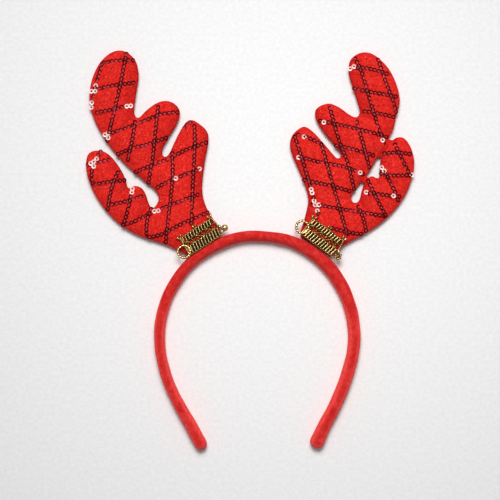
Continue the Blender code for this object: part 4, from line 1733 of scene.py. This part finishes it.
    def add_ring(self, shape: bmesh.types.BMesh) -> None:
        """Add the roped ring: a round bar with slanted ovals over it.

        Args:
            shape: The casting.
        """
        bar = self.circle(self.ring_centre, self.ring_radius, self.ring_points)
        self.cast(shape, bar, self.ring_width, closed=True)
        for index, spot in enumerate(self.circle(self.ring_centre, self.ring_radius, self.ring_twists)):
            turn = 90.0 + 360.0 * index / self.ring_twists + self.twist_lean
            self.add_leaf(shape, Leaf((spot.x, spot.y), turn, *self.twist_size))

    def add_knob(self, shape: bmesh.types.BMesh) -> None:
        """Add the end knob: a plain ball on a small loop on the left, a rosette of beads on the right.

        Args:
            shape: The casting.
        """
        if self.pattern.side is Side.LEFT:
            loop = self.circle(self.loop_centre, self.loop_radius, self.loop_points)
            self.cast(shape, loop, self.rail, closed=True)
            self.add_bead(shape, self.ball_centre, self.ball_radius)
            return
        ends = to_vectors([(self.length, self.lower_tier[0]), self.rosette_centre])
        self.cast(shape, smooth_through(ends, self.line_step), self.end_bar, closed=False)
        self.add_bead(shape, self.rosette_centre, self.rosette_heart)
        for spot in self.circle(self.rosette_centre, self.rosette_spread, self.rosette_beads):
            self.add_bead(shape, spot.to_2d(), self.rosette_bead)

    def flatten_underside(self, piece: bpy.types.Object) -> None:
        """Cut the back of the casting flat, clear of the plush."""
        level = self.underside * MM
        reshape(piece, lambda co: Vector((co.x, co.y, max(co.z, level))))


@dataclass
class Studio:
    """The pale board, the lights and the camera straight above. Lengths are in metres.

    The soft box hangs at key_from. The pool is a soft spot from the same place.
    """

    board_size: float = 2.5
    frame_width: float = 0.325
    subject_height: float = 0.005
    camera_height: float = 1.4
    sensor: float = 36.0
    key_from: tuple[float, float, float] = (-0.02, 0.69, 1.55)
    key_size: float = 0.85
    key_power: float = 18.0
    pool_power: float = 55.0
    pool_angle: float = 26.0
    pool_size: float = 0.25
    pool_centre: tuple[float, float, float] = (0.03, 0.02, 0.0)
    world: float = 0.21

    def build(self, board: bpy.types.Material) -> None:
        """Set the board, the lights and the camera up.

        Args:
            board: The board's finish.
        """
        scene = bpy.context.scene
        scene.view_settings.view_transform = "Standard"
        shape = bmesh.new()
        bmesh.ops.create_grid(shape, x_segments=2, y_segments=2, size=self.board_size)
        floor = object_from("board", shape)
        floor.data.materials.append(board)
        self.add_world(scene)
        self.add_key()
        self.add_pool()
        self.add_camera(scene)

    def add_world(self, scene: bpy.types.Scene) -> None:
        """Fill the room with even light.

        Args:
            scene: The scene.
        """
        world = bpy.data.worlds.new("studio")
        world.use_nodes = True
        background = world.node_tree.nodes["Background"]
        background.inputs["Color"].default_value = (1.0, 1.0, 1.0, 1.0)
        background.inputs["Strength"].default_value = self.world
        scene.world = world

    def add_key(self) -> None:
        """Hang the soft box beyond the antlers."""
        light = bpy.data.lights.new("soft_box", "AREA")
        light.shape = "SQUARE"
        light.size = self.key_size
        light.energy = self.key_power
        self.hang(light, Vector())

    def add_pool(self) -> None:
        """Aim a soft spot at the board, which fades out towards the corners of the picture."""
        light = bpy.data.lights.new("pool", "SPOT")
        light.energy = self.pool_power
        light.shadow_soft_size = self.pool_size
        light.spot_size = math.radians(self.pool_angle)
        light.spot_blend = 1.0
        self.hang(light, Vector(self.pool_centre))

    def hang(self, light: bpy.types.Light, target: Vector) -> None:
        """Hang a light beyond the antlers.

        Args:
            light: The light.
            target: The place on the board that it is aimed at.
        """
        lamp = bpy.data.objects.new(light.name, light)
        lamp.location = self.key_from
        lamp.rotation_euler = (target - Vector(self.key_from)).to_track_quat("-Z", "Y").to_euler()
        bpy.context.scene.collection.objects.link(lamp)

    def add_camera(self, scene: bpy.types.Scene) -> None:
        """Hang the camera over the middle of the headband.

        Args:
            scene: The scene, which gets the camera.
        """
        lens = bpy.data.cameras.new("camera")
        reach = self.camera_height - self.subject_height
        lens.sensor_width = self.sensor
        lens.lens = self.sensor * reach / self.frame_width
        lens.clip_start = 0.01
        camera = bpy.data.objects.new("camera", lens)
        camera.location = (0.0, 0.0, self.camera_height)
        scene.collection.objects.link(camera)
        scene.camera = camera


def main() -> None:
    """Dress the headband and set up the studio."""
    logging.basicConfig(level=logging.INFO, format="%(name)s: %(message)s")
    velvet = PileFabric(
        name="red_velvet",
        deep=(0.74, 0.038, 0.034),
        lit=(0.96, 0.078, 0.070),
        painted_glint=(1.0, 0.15, 0.14),
        shaded=(0.52, 0.008, 0.007),
        nap=80.0,
        streak=0.65,
        painted_glint_share=0.6,
        sheen=0.4,
        sheen_tint=(1.0, 0.25, 0.23),
        relief=0.1,
    ).make()
    plush = PileFabric(
        name="red_plush",
        deep=(0.52, 0.003, 0.001),
        lit=(0.78, 0.021, 0.014),
        painted_glint=(1.0, 0.13, 0.10),
        shaded=(0.40, 0.002, 0.002),
        nap=48.0,
        streak=0.55,
        painted_glint_share=1.0,
        sheen=0.08,
        sheen_tint=(1.0, 0.22, 0.2),
        relief=0.08,
    ).make()
    foil = SequinFoil().make()
    thread = SewingThread().make()
    gold = AntiqueGold().make()
    studio = Studio()
    band = HairBand()
    edge = band.outer_edge()
    piece = band.build(velvet)
    log.info("%s: %d faces", piece.name, len(piece.data.polygons))
    for pattern in (LEFT, RIGHT):
        rows = pattern.sequin_rows()
        body = StuffedAntler(pattern).build(edge, [row.line for row in rows], plush)
        ground = BVHTree.FromObject(body, bpy.context.evaluated_depsgraph_get())
        sequins = SequinRows(pattern)
        laid = sequins.lay(ground, rows)
        parts = [body, sequins.build_sequins(laid, foil), sequins.build_thread(rows, laid, thread)]
        parts.append(CastOrnament(pattern).build(gold))
        for part in parts:
            log.info("%s: %d faces", part.name, len(part.data.polygons))
    studio.build(PaleBoard().make())


if __name__ == "__main__":
    main()
